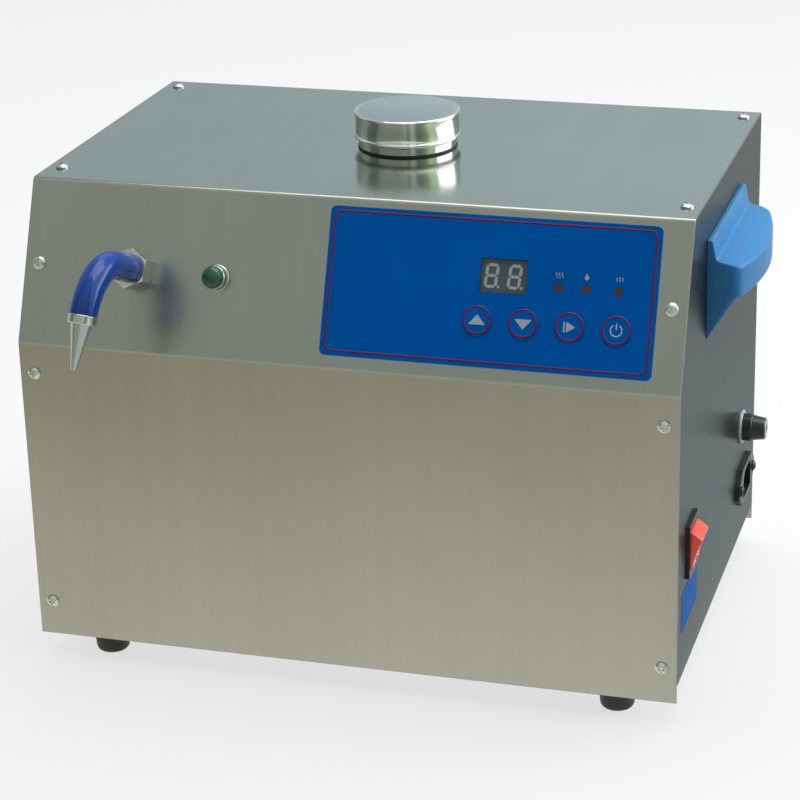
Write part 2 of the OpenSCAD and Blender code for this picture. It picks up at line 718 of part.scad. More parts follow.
// Rounds one upright corner of the ledge, tangent to the end face and to the bow
module handle_corner_cut() {
    r = handle_corner;
    axis = [handle_mid - bow_r, 0];
    c = [axis[0] + sqrt(pow(bow_r - r, 2) - pow(handle_l / 2 - r, 2)), handle_l / 2 - r];
    out = unit(c - axis);
    reach = atan2(out[1], out[0]);
    translate([0, 0, -1]) linear_extrude(handle_zone) polygon(concat(
        arc_points(c, r, 90, reach, 6),
        [c + out * r * 1.6, c + [r * 1.6, r * 1.6], c + [0, r * 1.6]]));
}

module handle_node(s) {
    color([0.3, 0.55, 0.82]) on_bench() mirror([s, 0, 0])
        translate([side_x, handle_y + handle_l / 2, case_z0 + handle_z]) difference() {
            handle_body();
            handle_bosses(-1, handle_screw_d + 2 * screw_gap, handle_boss_l - 1.5);
        }
}

module handle_right() { handle_node(0); }
module handle_left() { handle_node(1); }

module handle_screws() color([0.75, 0.75, 0.75]) on_bench()
    handle_screw_places() translate([0, 0, -sheet_t]) mirror([0, 0, 1])
        pan_screw(handle_screw_d * 2, 2.4, handle_screw_d, sheet_t + handle_boss_l - 3);

// Membrane panel --------------------------------------------------------------

module overlay() color([0.05, 0.27, 0.6]) on_bench()
    on_slope(overlay_x, overlay_v) difference() {
        plate(overlay_w, overlay_h, overlay_t, overlay_r);
        translate([window_x - overlay_x, window_v - overlay_v, -1])
            cube([window_w, window_h, overlay_t + 2]);
        for (i = [0:3]) translate([key_x + i * key_pitch - overlay_x, key_v - overlay_v, -1])
            cylinder(d = key_d + 2 * key_gap, h = overlay_t + 2, $fn = 96);
        for (x = led_x) translate([x - overlay_x, led_v - overlay_v, -1])
            cylinder(d = led_d + 0.2, h = overlay_t + 2);
    }

module display_window() color([0.25, 0.2, 0.2, 0.5]) on_bench()
    on_slope(window_x + seat_gap, window_v + seat_gap)
        cube([window_w - 2 * seat_gap, window_h - 2 * seat_gap, overlay_t]);

display_face = -0.5;

module display_module() color([0.12, 0.11, 0.11]) on_bench()
    on_slope(window_x + 0.3, window_v + 0.3, -sheet_t - panel_board_gap)
        cube([window_w - 0.6, window_h - 0.6, sheet_t + panel_board_gap + display_face]);

// One slanted digit of seven bars, with its point, standing on the origin
module digit() {
    b = bar_w;
    half = (digit_h - b) / 2;
    gap = 0.25;
    module bar(l) {
        polygon([[gap, 0], [b / 2 + gap, b / 2], [l - b / 2 - gap, b / 2], [l - gap, 0],
            [l - b / 2 - gap, -b / 2], [b / 2 + gap, -b / 2]]);
    }
    linear_extrude(0.2) multmatrix([[1, tan(digit_lean), 0, 0], [0, 1, 0, 0], [0, 0, 1, 0]]) {
        for (k = [0:2]) translate([b / 2, b / 2 + k * half]) bar(digit_w - b);
        for (k = [0:1]) for (x = [b / 2, digit_w - b / 2])
            translate([x, b / 2 + k * half]) rotate(90) bar(half);
    }
    translate([digit_w + 0.9, b / 2, 0]) cylinder(d = b, h = 0.2, $fn = 20);
}

module display_digits() color([0.7, 0.7, 0.68]) on_bench()
    on_slope(window_x + window_w / 2, window_v + window_h / 2, display_face)
        for (i = [0, 1])
            translate([(i - 0.5) * digit_pitch - digit_w / 2 - 1, -digit_h / 2, 0]) digit();

module indicator_leds() color([0.45, 0.12, 0.16]) on_bench()
    for (x = led_x) on_slope(x, led_v, -sheet_t - panel_board_gap) {
        cylinder(d = led_d, h = sheet_t + panel_board_gap + overlay_t - 0.1);
        cylinder(d = led_d + 0.3, h = 1);
    }

// A key's top with the stem that presses its switch
module key(i) {
    on_bench() on_slope(key_x + i * key_pitch, key_v) {
        stem_l = sheet_t + panel_board_gap - tact_h - key_travel - 0.3;
        rotate_extrude($fn = 96) polygon([[0, seat_gap + key_travel], [stem_d / 2, seat_gap + key_travel],
            [key_d / 2, seat_gap + key_travel], [key_d / 2, overlay_t + key_raise - 0.3],
            [key_d / 2 - 0.3, overlay_t + key_raise], [0, overlay_t + key_raise]]);
        translate([0, 0, -stem_l]) cylinder(d = stem_d, h = stem_l + seat_gap + key_travel + eps);
    }
}

module key_up() color([0.05, 0.27, 0.6]) key(0);
module key_down() color([0.05, 0.27, 0.6]) key(1);
module key_start() color([0.05, 0.27, 0.6]) key(2);
module key_power() color([0.05, 0.27, 0.6]) key(3);

panel_post_inset = 5;
panel_post_d = 6;

module panel_post_places() {
    for (x = [panel_post_inset, panel_board_w - panel_post_inset])
        for (v = [panel_post_inset, panel_board_h - panel_post_inset])
            on_slope(panel_board_x + x, panel_board_v + v, -sheet_t) children();
}

// Board behind the membrane panel, with the four key switches soldered to it
module panel_board() color([0.1, 0.4, 0.2]) on_bench() difference() {
    on_slope(panel_board_x, panel_board_v, -sheet_t - panel_board_gap) {
        translate([0, 0, -board_t]) cube([panel_board_w, panel_board_h, board_t]);
        for (i = [0:3]) translate([key_x + i * key_pitch - panel_board_x, key_v - panel_board_v, -eps])
            translate([-3, -3, 0]) cube([6, 6, tact_h]);
    }
    panel_post_places() translate([0, 0, -panel_board_gap - board_t - 1])
        cylinder(d = 3.2, h = board_t + 2);
}

// Pilot lamp ------------------------------------------------------------------

lamp_barrel_d = 10;
lamp_barrel_l = 18;

module lamp_bezel() color([0.8, 0.8, 0.8]) on_bench() on_slope(lamp_x, lamp_v) {
    rotate_extrude($fn = 64) polygon([[0, 0], [lamp_flange_d / 2, 0], [lamp_flange_d / 2, 0.8],
        [lamp_flange_d / 2 - 0.5, 1.3], [lamp_tube_d / 2, 1.3], [lamp_tube_d / 2, lamp_tube_l - 0.5],
        [lamp_tube_d / 2 - 0.4, lamp_tube_l], [lamp_lens_d / 2 + seat_gap, lamp_tube_l],
        [lamp_lens_d / 2 + seat_gap, 2], [0, 2]]);
    translate([0, 0, -lamp_barrel_l]) cylinder(d = lamp_barrel_d, h = lamp_barrel_l + eps);
}

// Domed lens, seated in the bezel
module lamp_lens() color([0.1, 0.4, 0.25]) on_bench() on_slope(lamp_x, lamp_v, 2) {
    base_l = lamp_tube_l - 1;
    dome_h = lamp_lens_l - 2 - base_l;
    r = lamp_lens_d / 2;
    rotate_extrude($fn = 64) polygon(concat([[0, 0], [r, 0]],
        [for (k = [0:10]) [r * cos(9 * k), base_l + dome_h * sin(9 * k)]]));
}

// Nozzle ----------------------------------------------------------------------

gland_d = 14;

// Everything on the nozzle's axis: z leaves the panel, and the bend drops along -y
module nozzle_axis() on_slope(nozzle_x, nozzle_v) rotate(-nozzle_turn) children();

// Places its children at the end of the bend, with z along the pipe
module past_bend() {
    translate([0, 0, nozzle_reach]) translate([0, -bend_r, 0]) rotate([bend_angle, 0, 0])
        translate([0, bend_r, 0]) children();
}

// The bend itself, as a hollow section
module bend(od, id) {
    translate([0, -bend_r, nozzle_reach]) rotate([90, 0, 90]) rotate_extrude(angle = bend_angle, $fn = 180)
        translate([bend_r, 0]) difference() {
            circle(d = od, $fn = 40);
            circle(d = id, $fn = 40);
        }
}

module nozzle_nut() color([0.75, 0.75, 0.72]) on_bench() nozzle_axis() difference() {
    intersection() {
        rotate(30) hex(nut_af, nut_h);
        rotate_extrude($fn = 64) polygon([[0, 0], [nut_af / 2 + 0.6, 0], [nut_af / 2 + 1.7, 0.8],
            [nut_af / 2 + 1.7, nut_h - 0.8], [nut_af / 2 + 0.2, nut_h], [0, nut_h]]);
    }
    translate([0, 0, -1]) cylinder(d = pipe_d + 2 * seat_gap, h = nut_h + 2);
    translate([0, 0, nut_h - 4]) cylinder(d = sleeve_d + 2 * seat_gap, h = 5);
}

module nozzle_pipe() color([0.7, 0.7, 0.7]) on_bench() nozzle_axis() {
    id = pipe_d - 2 * pipe_wall;
    translate([0, 0, -pipe_inner]) tube(pipe_d, id, pipe_inner + nozzle_reach);
    difference() {
        translate([0, 0, -12]) cylinder(d = gland_d, h = 12 - seat_gap);
        translate([0, 0, -13]) cylinder(d = pipe_d - pipe_wall, h = 14);
    }
    bend(pipe_d, id);
}

module nozzle_sleeve() color([0.1, 0.25, 0.6]) on_bench() nozzle_axis() {
    id = pipe_d + 2 * seat_gap;
    translate([0, 0, nut_h - 4 + seat_gap]) tube(sleeve_d, id, nozzle_reach - nut_h + 4 - seat_gap);
    bend(sleeve_d, id);
}

// Turned tip: a collar with a cone, and a spigot that fits the pipe's bore
module nozzle_tip() color([0.8, 0.8, 0.78]) on_bench() nozzle_axis() past_bend() {
    spigot = pipe_d / 2 - pipe_wall - 2 * seat_gap;
    bore = spigot - 0.8;
    rotate_extrude($fn = 64) polygon([[bore, -2.5], [spigot, -2.5], [spigot, seat_gap],
        [collar_d / 2 - 0.4, seat_gap], [collar_d / 2, seat_gap + 0.4], [collar_d / 2, collar_h - 0.4],
        [collar_d / 2 - 0.4, collar_h], [cone_d / 2, collar_h], [cone_end_d / 2, nozzle_end],
        [jet_d / 2, nozzle_end], [jet_d / 2, nozzle_end - 6], [bore, collar_h]]);
}

// Nuts behind the panels, for the nozzle, the lamp and the fuse holder
module back_nuts() color([0.75, 0.7, 0.5]) on_bench() {
    nozzle_axis() translate([0, 0, -sheet_t - 5]) difference() {
        hex(nut_af, 5 - seat_gap);
        translate([0, 0, -1]) cylinder(d = gland_d + 2 * seat_gap, h = 7);
    }
    on_slope(lamp_x, lamp_v, -sheet_t - 3) difference() {
        hex(lamp_barrel_d + 4, 3 - seat_gap);
        translate([0, 0, -1]) cylinder(d = lamp_barrel_d + 2 * seat_gap, h = 5);
    }
    on_side(fuse_y, case_z0 + fuse_z) translate([0, 0, -sheet_t - 4]) difference() {
        hex(fuse_barrel_d + 4, 4 - seat_gap);
        translate([0, 0, -1]) cylinder(d = fuse_barrel_d + 2 * seat_gap, h = 6);
    }
}

module solenoid_valve() color([0.75, 0.6, 0.3]) on_bench()
    on_slope(nozzle_x, nozzle_v, -pipe_inner) difference() {
    union() {
        translate([-valve_block / 2, -valve_block / 2, -valve_block]) cube(valve_block);
        translate([0, 0, -valve_block - 8]) cylinder(d = 12, h = 9);
        cylinder(d = 14, h = 4);
        translate([0, valve_block / 2 - 1, -valve_block / 2]) rotate([-90, 0, 0]) cylinder(d = 9, h = 34);
    }
    cylinder(d = pipe_d + 2 * seat_gap, h = 5);
    translate([0, 0, -valve_block - 9]) cylinder(d = 5, h = 14);
}

module solenoid_coil() color([0.1, 0.1, 0.12]) on_bench()
    on_slope(nozzle_x, nozzle_v + valve_block / 2 + seat_gap, -pipe_inner - valve_block / 2)
        rotate([-90, 0, 0]) tube(30, 9 + 2 * seat_gap, 28);

hose_d = 9;
hose_gap = 0.4;

module steam_elbow() color([0.75, 0.6, 0.3]) on_bench()
    translate([steam_boss[0], cap_y + steam_boss[1], boss_top_z + seat_gap]) {
        hex(13, 5);
        cylinder(d = fitting_d, h = elbow_z - boss_top_z + 4);
        translate([0, 0, elbow_z - boss_top_z]) rotate([0, -90, 0]) cylinder(d = 7, h = 18);
        translate([0, 0, -10]) cylinder(d = fitting_d, h = 11);
    }

// Insulated hose from the boiler's elbow to the solenoid valve
module steam_hose() color([0.85, 0.85, 0.8]) on_bench() {
    inlet_off = pipe_inner + valve_block + 8 + hose_gap;
    inward = [0, cos(slope_tilt), -sin(slope_tilt)];
    a = [nozzle_x, nozzle_v * sin(slope_tilt), fold_z + nozzle_v * cos(slope_tilt)] + inlet_off * inward;
    b = [steam_boss[0] - 18 - hose_gap, cap_y + steam_boss[1], elbow_z + seat_gap];
    swept(curve_points(a, 34 * inward, b, [44, 0, 0], 16), hose_d, 10);
}

// Boiler ----------------------------------------------------------------------

// Outline of a dished vessel as (radius, height) points
function vessel(r, dish, top, low) = concat(
    [for (k = [0:12]) [r * sin(7.5 * k), top - dish + dish * cos(7.5 * k)]],
    [for (k = [12:-1:0]) [r * sin(7.5 * k), low + dish - dish * cos(7.5 * k)]]);

module boiler_bosses(d, low, high) {
    for (p = [steam_boss, level_boss, switch_boss, safety_boss])
        translate([p[0], p[1], low]) cylinder(d = d, h = high - low, $fn = 32);
}

// The whole vessel, with the bosses welded to it
module vessel_body() {
    r = boiler_d / 2;
    t = boiler_wall;
    difference() {
        union() {
            rotate_extrude($fn = 96) polygon(vessel(r, dish_h, boiler_top_z, boiler_low_z));
            boiler_bosses(2 * boss_r, shell_top_z + 8, boss_top_z);
            translate([0, 0, shell_top_z + 8])
                cylinder(d = neck_d + 4, h = boiler_top_z + 2 - shell_top_z - 8, $fn = 96);
            translate([0, 0, heater_z]) rotate([0, 90, 0]) cylinder(d = heater_plug_d + 8, h = r + 6);
            translate([0, 0, boiler_low_z - 4]) cylinder(d = drain_d + 6, h = dish_h);
        }
        rotate_extrude($fn = 96) polygon(vessel(r - t, dish_h - t, boiler_top_z - t, boiler_low_z + t));
        boiler_bosses(fitting_d + 2 * seat_gap, shell_top_z, boss_top_z + 1);
        translate([0, 0, shell_top_z]) cylinder(d = neck_d - 2 * neck_wall, h = boiler_top_z, $fn = 96);
        translate([0, 0, heater_z]) rotate([0, 90, 0]) cylinder(d = heater_plug_d - 4, h = r + 10);
        translate([0, 0, boiler_low_z - 5]) cylinder(d = drain_d - 4, h = dish_h);
    }
}

// One end of the vessel, cut at the weld under its upper dish
module boiler_part(low, high) color([0.72, 0.73, 0.73]) on_bench() translate([0, cap_y, 0])
    intersection() {
        vessel_body();
        translate([0, 0, low]) cylinder(d = 2 * boiler_d, h = high - low);
    }

module boiler() { boiler_part(boiler_low_z - 5, shell_top_z); }
module boiler_top() { boiler_part(shell_top_z, top_z); }

skirt_bolt_r = skirt_d / 2 + 7;
skirt_bolt_d = 5;

// Ring that carries the boiler on the casing floor
module boiler_skirt() color([0.6, 0.6, 0.6]) on_bench() translate([0, cap_y, 0]) {
    r = skirt_d / 2;
    t = 1.5;
    dish_drop = dish_h * sqrt(1 - pow(r / (boiler_d / 2), 2));
    touch_z = shell_low_z - dish_drop - 2 * seat_gap;
    difference() {
        rotate_extrude($fn = 96) polygon([[r - t, floor_z], [r + 14, floor_z], [r + 14, floor_z + 2],
            [r, floor_z + 2], [r, touch_z], [r - t, touch_z - 1.2]]);
        for (a = [0:3]) rotate(45 + 90 * a) translate([skirt_bolt_r, 0, floor_z - 1])
            cylinder(d = skirt_bolt_d + 2 * screw_gap, h = 4);
        translate([0, 0, drain_z]) rotate([-90, 0, 0]) cylinder(d = drain_d + 2, h = r + 5);
    }
}

module skirt_bolts() color([0.75, 0.75, 0.75]) on_bench()
    for (a = [0:3]) translate([0, cap_y, under_z]) rotate(45 + 90 * a) translate([skirt_bolt_r, 0, 0]) {
        mirror([0, 0, 1]) pan_screw(skirt_bolt_d * 1.9, 2.4, skirt_bolt_d, 11);
        translate([0, 0, sheet_t + 2]) difference() {
            hex(8, 4);
            translate([0, 0, -1]) cylinder(d = skirt_bolt_d + 2 * screw_gap, h = 6);
        }
    }

// Immersion heater: a screwed plug with a bent tube inside the boiler
module heater() color([0.7, 0.6, 0.45]) on_bench()
    translate([boiler_d / 2 + 6 + seat_gap, cap_y, heater_z]) {
        legs = boiler_d - 34;
        rotate([0, 90, 0]) hex(heater_plug_d + 4, 7);
        translate([-14, 0, 0]) rotate([0, 90, 0]) cylinder(d = heater_plug_d - 4 - 2 * seat_gap, h = 15);
        for (s = [-1, 1]) {
            translate([-legs, s * heater_gap / 2, 0]) rotate([0, 90, 0])
                cylinder(d = heater_d, h = legs - 10);
            translate([6, s * heater_gap / 2, 0]) rotate([0, 90, 0]) cylinder(d = 4, h = 14);
        }
        translate([-legs, 0, 0]) rotate(90) rotate_extrude(angle = 180, $fn = 64)
            translate([heater_gap / 2, 0]) circle(d = heater_d, $fn = 32);
    }

// A fitting on one of the boiler's bosses, drawn from the boss's top
module boss_fitting(p) {
    translate([p[0], cap_y + p[1], boss_top_z + seat_gap]) {
        translate([0, 0, -10]) cylinder(d = fitting_d, h = 11);
        hex(13, 5);
        children();
    }
}

probe_l = 70;

module level_probe() color([0.8, 0.8, 0.8]) on_bench() boss_fitting(level_boss) {
    cylinder(d = 8, h = 12);
    cylinder(d = 3, h = 18);
    translate([0, 0, -probe_l]) cylinder(d = 4, h = probe_l + 1);
}

module pressure_switch() color([0.7, 0.7, 0.72]) on_bench() boss_fitting(switch_boss) {
    cylinder(d = 20, h = 14);
    translate([0, 0, 13]) cylinder(d = 12, h = 6);
}

module safety_valve() color([0.78, 0.62, 0.3]) on_bench() boss_fitting(safety_boss) {
    cylinder(d = 13, h = 16);
    translate([0, 0, 15]) cylinder(d = 9, h = 6);
    translate([0, 0, 9]) rotate([-90, 0, 0]) cylinder(d = 6, h = 12);
}

module thermostat() color([0.85, 0.85, 0.8]) on_bench()
    translate([-boiler_d / 2 - seat_gap, cap_y, shell_low_z + shell_l / 2]) rotate([0, -90, 0]) {
        cylinder(d = 16, h = 8);
        for (s = [-1, 1]) translate([-0.4, s * 4 - 3, 7]) cube([0.8, 6, 9]);
    }

// Filler ----------------------------------------------------------------------

module filler_neck() color([0.75, 0.75, 0.75]) on_bench() translate([0, cap_y, boiler_top_z + 2])
    difference() {
        cylinder(d = neck_d, h = neck_top_z - boiler_top_z - 2, $fn = 96);
        translate([0, 0, -1]) cylinder(d = neck_d - 2 * neck_wall, h = neck_top_z - boiler_top_z, $fn = 96);
    }

module neck_gasket() color([0.05, 0.05, 0.05]) on_bench() translate([0, cap_y, top_z])
    difference() {
        cylinder(d = ring_d + 0.8, h = neck_gasket_t, $fn = 96);
        translate([0, 0, -1]) cylinder(d = neck_d + 2 * seat_gap, h = neck_gasket_t + 2, $fn = 96);
    }

ring_h = cap_lift_off - neck_gasket_t - cap_gap;

module neck_ring() color([0.8, 0.8, 0.8]) on_bench() translate([0, cap_y, top_z + neck_gasket_t])
    rotate_extrude($fn = 96) polygon([[neck_d / 2 + seat_gap, 0], [ring_d / 2 - 0.3, 0],
        [ring_d / 2, 0.4], [ring_d / 2 + 0.25, ring_h - 0.4], [ring_d / 2, ring_h],
        [neck_d / 2 + seat_gap, ring_h]]);

module cap_gasket() color([0.9, 0.9, 0.85]) on_bench() translate([0, cap_y, neck_top_z + seat_gap])
    tube(neck_d - 0.4, neck_d - 2 * neck_wall - 4, seal_t, $fn = 96);

// Plate that presses the gasket, hung from the insert by a swivel rivet
module seal_plate() color([0.75, 0.75, 0.75]) on_bench() translate([0, cap_y, seal_top_z + seat_gap])
    rotate_extrude($fn = 96) polygon([[0, 0], [neck_d / 2 - 0.4, 0], [neck_d / 2 - 0.4, plate_t],
        [rivet_d / 2, plate_t],
        [rivet_d / 2, web_top_z - seal_top_z], [rivet_head_d / 2, web_top_z - seal_top_z],
        [rivet_head_d / 2, web_top_z - seal_top_z + rivet_head_h - 0.4],
        [rivet_head_d / 2 - 0.4, web_top_z - seal_top_z + rivet_head_h],
        [0, web_top_z - seal_top_z + rivet_head_h]]);

cap_bottom_z = top_z + cap_lift_off;
cap_body_r = cap_d / 2 - bead_h;

// Threaded insert fixed in the cap, with a web that the rivet passes through
module cap_insert() color([0.7, 0.65, 0.45]) on_bench() translate([0, cap_y, 0])
    rotate_extrude($fn = 96) polygon([[neck_d / 2 + thread_gap, cap_bottom_z + 0.8],
        [cap_body_r - cap_wall - seat_gap, cap_bottom_z + 0.8], [cap_body_r - cap_wall - seat_gap, web_top_z],
        [rivet_d / 2 + rivet_gap, web_top_z], [rivet_d / 2 + rivet_gap, web_top_z - web_t],
        [neck_d / 2 + thread_gap, web_top_z - web_t]]);

// Spun cap: a slightly domed top, a rolled rim and a bead above the lower edge
module cap_shell() color([0.82, 0.82, 0.82]) on_bench() translate([0, cap_y, 0]) {
    r = cap_body_r;
    z1 = top_z + cap_top;
    z0 = cap_bottom_z;
    rotate_extrude($fn = 128) polygon([[0, z1], [r - 2.6, z1], [r - 1.4, z1 - 0.25], [r - 0.3, z1 - 0.2],
        [r + bead_h * 0.6, z1 - 0.7], [r + bead_h * 0.75, z1 - 1.4], [r + bead_h * 0.5, z1 - 2.1],
        [r, z1 - 2.6], [r, z0 + 3.4], [r + bead_h * 0.7, z0 + 2.8], [r + bead_h, z0 + 2],
        [r + bead_h * 0.95, z0 + 0.9], [r + bead_h * 0.5, z0 + 0.2], [r - 0.2, z0],
        [r - cap_wall, z0 + 0.2], [r - cap_wall, z1 - cap_wall - 1.2], [r - cap_wall - 1.2, z1 - cap_wall],
        [0, z1 - cap_wall]]);
}

// Side fittings ---------------------------------------------------------------

well_w = switch_w - 5.5;
well_h = switch_h - 7;
rocker_w = well_w - 0.8;
rocker_pin_d = 3;

// Frame and housing of the rocker switch, open towards the outside
module rocker_housing() color([0.06, 0.06, 0.06]) on_bench()
    on_side(switch_y + switch_w / 2, case_z0 + switch_z + switch_h / 2) {
        difference() {
            union() {
                translate([-switch_w / 2, -switch_h / 2, 0]) plate(switch_w, switch_h, switch_t, 2);
                translate([-switch_w / 2 + 2, -switch_h / 2 + 2, -switch_depth])
                    cube([switch_w - 4, switch_h - 4, switch_depth + eps]);
                for (s = [-1, 1]) for (k = [-1, 1]) translate([s * 6 - 0.4, k * 7 - 3, -switch_depth - 8])
                    cube([0.8, 6, 9]);
            }
            translate([-well_w / 2, -well_h / 2, -12]) cube([well_w, well_h, 20]);
            translate([-switch_w, 0, -pivot_in]) rotate([0, 90, 0])
                cylinder(d = rocker_pin_d + 0.14, h = 2 * switch_w);
        }
    }

// Rocker drawn level, then turned to its resting side; z leaves the panel
module rocker() color([0.9, 0.3, 0.22]) on_bench()
    on_side(switch_y + switch_w / 2, case_z0 + switch_z + switch_h / 2)
        translate([0, 0, -pivot_in]) rotate([rocker_swing / 2, 0, 0]) {
            half = well_h / 2 - 0.6;
            tip = 7.5;
            rotate([90, 0, 90]) translate([0, 0, -rocker_w / 2]) linear_extrude(rocker_w)
                polygon(concat([[half - 3, tip], [half - 2.4, tip - 0.5], [half, 0.6], [half - 0.5, -1]],
                    arc_points([0, 0], 6.5, -20, -160, 8), [[-half + 0.5, -1], [-half, 0.6],
                    [-half + 2.4, tip - 0.5], [-half + 3, tip], [-3, tip - 0.5], [3, tip - 0.5]]));
            rotate([0, 90, 0]) translate([0, 0, -rocker_w / 2 - 1])
                cylinder(d = rocker_pin_d, h = rocker_w + 2);
        }

fuse_bore_d = 6;
fuse_tube_d = 5.2;
fuse_flange_l = 7;

// Fuse holder with its washer, flange and barrel, bored for the cartridge
module fuse_holder() color([0.08, 0.08, 0.08]) on_bench() on_side(fuse_y, case_z0 + fuse_z) difference() {
    union() {
        rotate_extrude($fn = 64) polygon([[0, 0], [fuse_washer_d / 2, 0], [fuse_washer_d / 2, 1],
            [fuse_washer_d / 2 - 0.5, 1.4], [fuse_flange_d / 2, 1.4],
            [fuse_flange_d / 2, fuse_flange_l - 0.5],
            [fuse_flange_d / 2 - 0.5, fuse_flange_l], [0, fuse_flange_l]]);
        translate([0, 0, -34]) cylinder(d = fuse_barrel_d, h = 34 + eps);
        translate([-0.4, -3, -43]) cube([0.8, 6, 10]);
    }
    translate([0, 0, -28]) cylinder(d = fuse_bore_d, h = 60);
    translate([0, 0, fuse_flange_l - 3]) cylinder(d = 10.4, h = 5);
}

module fuse_cartridge() color([0.85, 0.85, 0.82]) on_bench() on_side(fuse_y, case_z0 + fuse_z)
    translate([0, 0, -26]) {
        cylinder(d = fuse_tube_d, h = 20, $fn = 32);
        translate([0, 0, 19.9]) cylinder(d = fuse_tube_d - 1.2, h = 4, $fn = 32);
    }

// Knob that holds the cartridge, with a slot for a screwdriver
module fuse_cap() color([0.08, 0.08, 0.08]) on_bench() on_side(fuse_y, case_z0 + fuse_z) {
    z0 = fuse_flange_l + seat_gap;
    r = fuse_cap_end_d / 2;
    difference() {
        union() {
            rotate_extrude($fn = 64) polygon([[0, z0], [fuse_cap_d / 2, z0], [r, fuse_out - 0.6],
                [r - 0.6, fuse_out], [0, fuse_out]]);
            translate([0, 0, fuse_flange_l - 2.9]) cylinder(d = 10.2, h = 4);
            translate([0, 0, -5.8]) cylinder(d = 5.8, h = 12);
        }
        translate([0, 0, -6]) cylinder(d = fuse_tube_d - 1, h = 5.8);
        translate([0, 0, fuse_out]) cube([r * 1.3, 1.4, 2.4], center = true);
    }
}

inlet_body_l = 27;
inlet_body_h = 19;
inlet_depth = 17;
inlet_screw_d = 3.5;
socket_l = 24.4;
socket_h = 16.4;
pin_l = 12;

module inlet_screw_places() {
    for (s = [-1, 1]) on_side(inlet_y + s * inlet_screw_pitch / 2, case_z0 + inlet_z) children();
}

// Eared flange outline, clockwise from the lower left
function inlet_outline() = [[-inlet_l / 2, -4], [-inlet_l / 2, 4], [-inlet_body_l / 2 - 2, inlet_h / 2],
    [inlet_body_l / 2 + 2, inlet_h / 2], [inlet_l / 2, 4], [inlet_l / 2, -4],
    [inlet_body_l / 2 + 2, -inlet_h / 2], [-inlet_body_l / 2 - 2, -inlet_h / 2]];

// Socket outline with its two cut corners
function socket_outline(l, h) = [[-l / 2, -h / 2], [-l / 2, h / 2 - 4], [-l / 2 + 4, h / 2],
    [l / 2 - 4, h / 2], [l / 2, h / 2 - 4], [l / 2, -h / 2]];

module power_inlet() color([0.1, 0.1, 0.1]) on_bench() on_side(inlet_y, case_z0 + inlet_z) difference() {
    union() {
        linear_extrude(inlet_t) polygon(rounded(inlet_outline(), [3, 3, 3, 3, 3, 3, 3, 3], 4));
        translate([0, 0, -inlet_depth]) linear_extrude(inlet_depth + eps)
            polygon(socket_outline(inlet_body_l, inlet_body_h));
    }
    translate([0, 0, inlet_t - inlet_depth]) linear_extrude(inlet_depth + 1)
        polygon(socket_outline(socket_l, socket_h));
    for (p = pin_places) translate([p[0], p[1], -inlet_depth - 1])
        linear_extrude(5) square([pin_w, pin_h] + 2 * [seat_gap, seat_gap], center = true);
    for (s = [-1, 1]) translate([s * inlet_screw_pitch / 2, 0, -1])
        cylinder(d = inlet_screw_d + 2 * screw_gap, h = inlet_t + 2);
}

pin_w = 2;
pin_h = 4;
pin_places = [[-7, -2], [7, -2], [0, 3]];

module inlet_pins() color([0.8, 0.75, 0.6]) on_bench() on_side(inlet_y, case_z0 + inlet_z)
    for (p = pin_places) translate([p[0], p[1], -inlet_depth - 8]) {
        linear_extrude(8 + inlet_t + pin_l) square([pin_w, pin_h], center = true);
    }

module inlet_screws() color([0.75, 0.75, 0.75]) on_bench()
    inlet_screw_places() translate([0, 0, inlet_t]) pan_screw(6.4, 2, inlet_screw_d, 9);

// Boards ----------------------------------------------------------------------

terminal_x = 45;
terminal_y = 10;
wire_slots = [2, 0, 1];
standoff_d = 6;
standoff_hole_d = 3.2;
board_hole_inset = 5;

module control_standoff_places(z) {
    for (x = [board_hole_inset, board_w - board_hole_inset])
        for (y = [board_hole_inset, board_l - board_hole_inset])
            translate([board_x + x, board_y + y, z]) children();
}

// Control board with its relay, terminal block and capacitor soldered on
module control_board() color([0.1, 0.42, 0.2]) on_bench() difference() {
    translate([board_x, board_y, floor_z + board_rise]) {
        cube([board_w, board_l, board_t]);
        translate([10, 14, board_t - eps]) cube([20, 16, 16]);
        translate([terminal_x, terminal_y, board_t - eps]) cube([28, 10, 12]);
        translate([38, 30, board_t - eps]) cylinder(d = 12, h = 20);
    }
    control_standoff_places(floor_z) cylinder(d = standoff_hole_d, h = 40);
}

// Posts under the control board and behind the panel board
module standoffs() color([0.8, 0.8, 0.8]) on_bench() {
    control_standoff_places(floor_z) {
        tube(standoff_d, standoff_hole_d, board_rise);
        translate([0, 0, board_rise + board_t]) cylinder(d = 5.4, h = 2);
        translate([0, 0, -sheet_t])
            cylinder(d = standoff_hole_d - 0.2, h = board_rise + board_t + sheet_t + 1);
    }
    panel_post_places() {
        translate([0, 0, -panel_board_gap]) cylinder(d = panel_post_d, h = panel_board_gap);
        translate([0, 0, -panel_board_gap - board_t - 2]) cylinder(d = 3, h = board_t + 3);
        translate([0, 0, -panel_board_gap - board_t - 2]) cylinder(d = 5.4, h = 2);
    }
}

module transformer() color([0.3, 0.3, 0.32]) on_bench()
    translate([board_x + 4, board_y + 56, floor_z + board_rise + board_t]) {
        core = [42, 20, 34];
        window = [7, core[1] + 2, 18];
        leg = core[0] - 2 * window[0] - 2 * 8;
        difference() {
            cube(core);
            for (x = [8, 8 + window[0] + leg]) translate([x, -1, 8]) cube(window);
        }
        difference() {
            translate([8 + seat_gap, -5, 8 + seat_gap])
                cube([leg + 2 * window[0] - 2 * seat_gap, core[1] + 10, window[2] - 2 * seat_gap]);
            translate([8 + window[0] - seat_gap, -seat_gap, 0])
                cube([leg + 2 * seat_gap, core[1] + 2 * seat_gap, core[2]]);
        }
    }

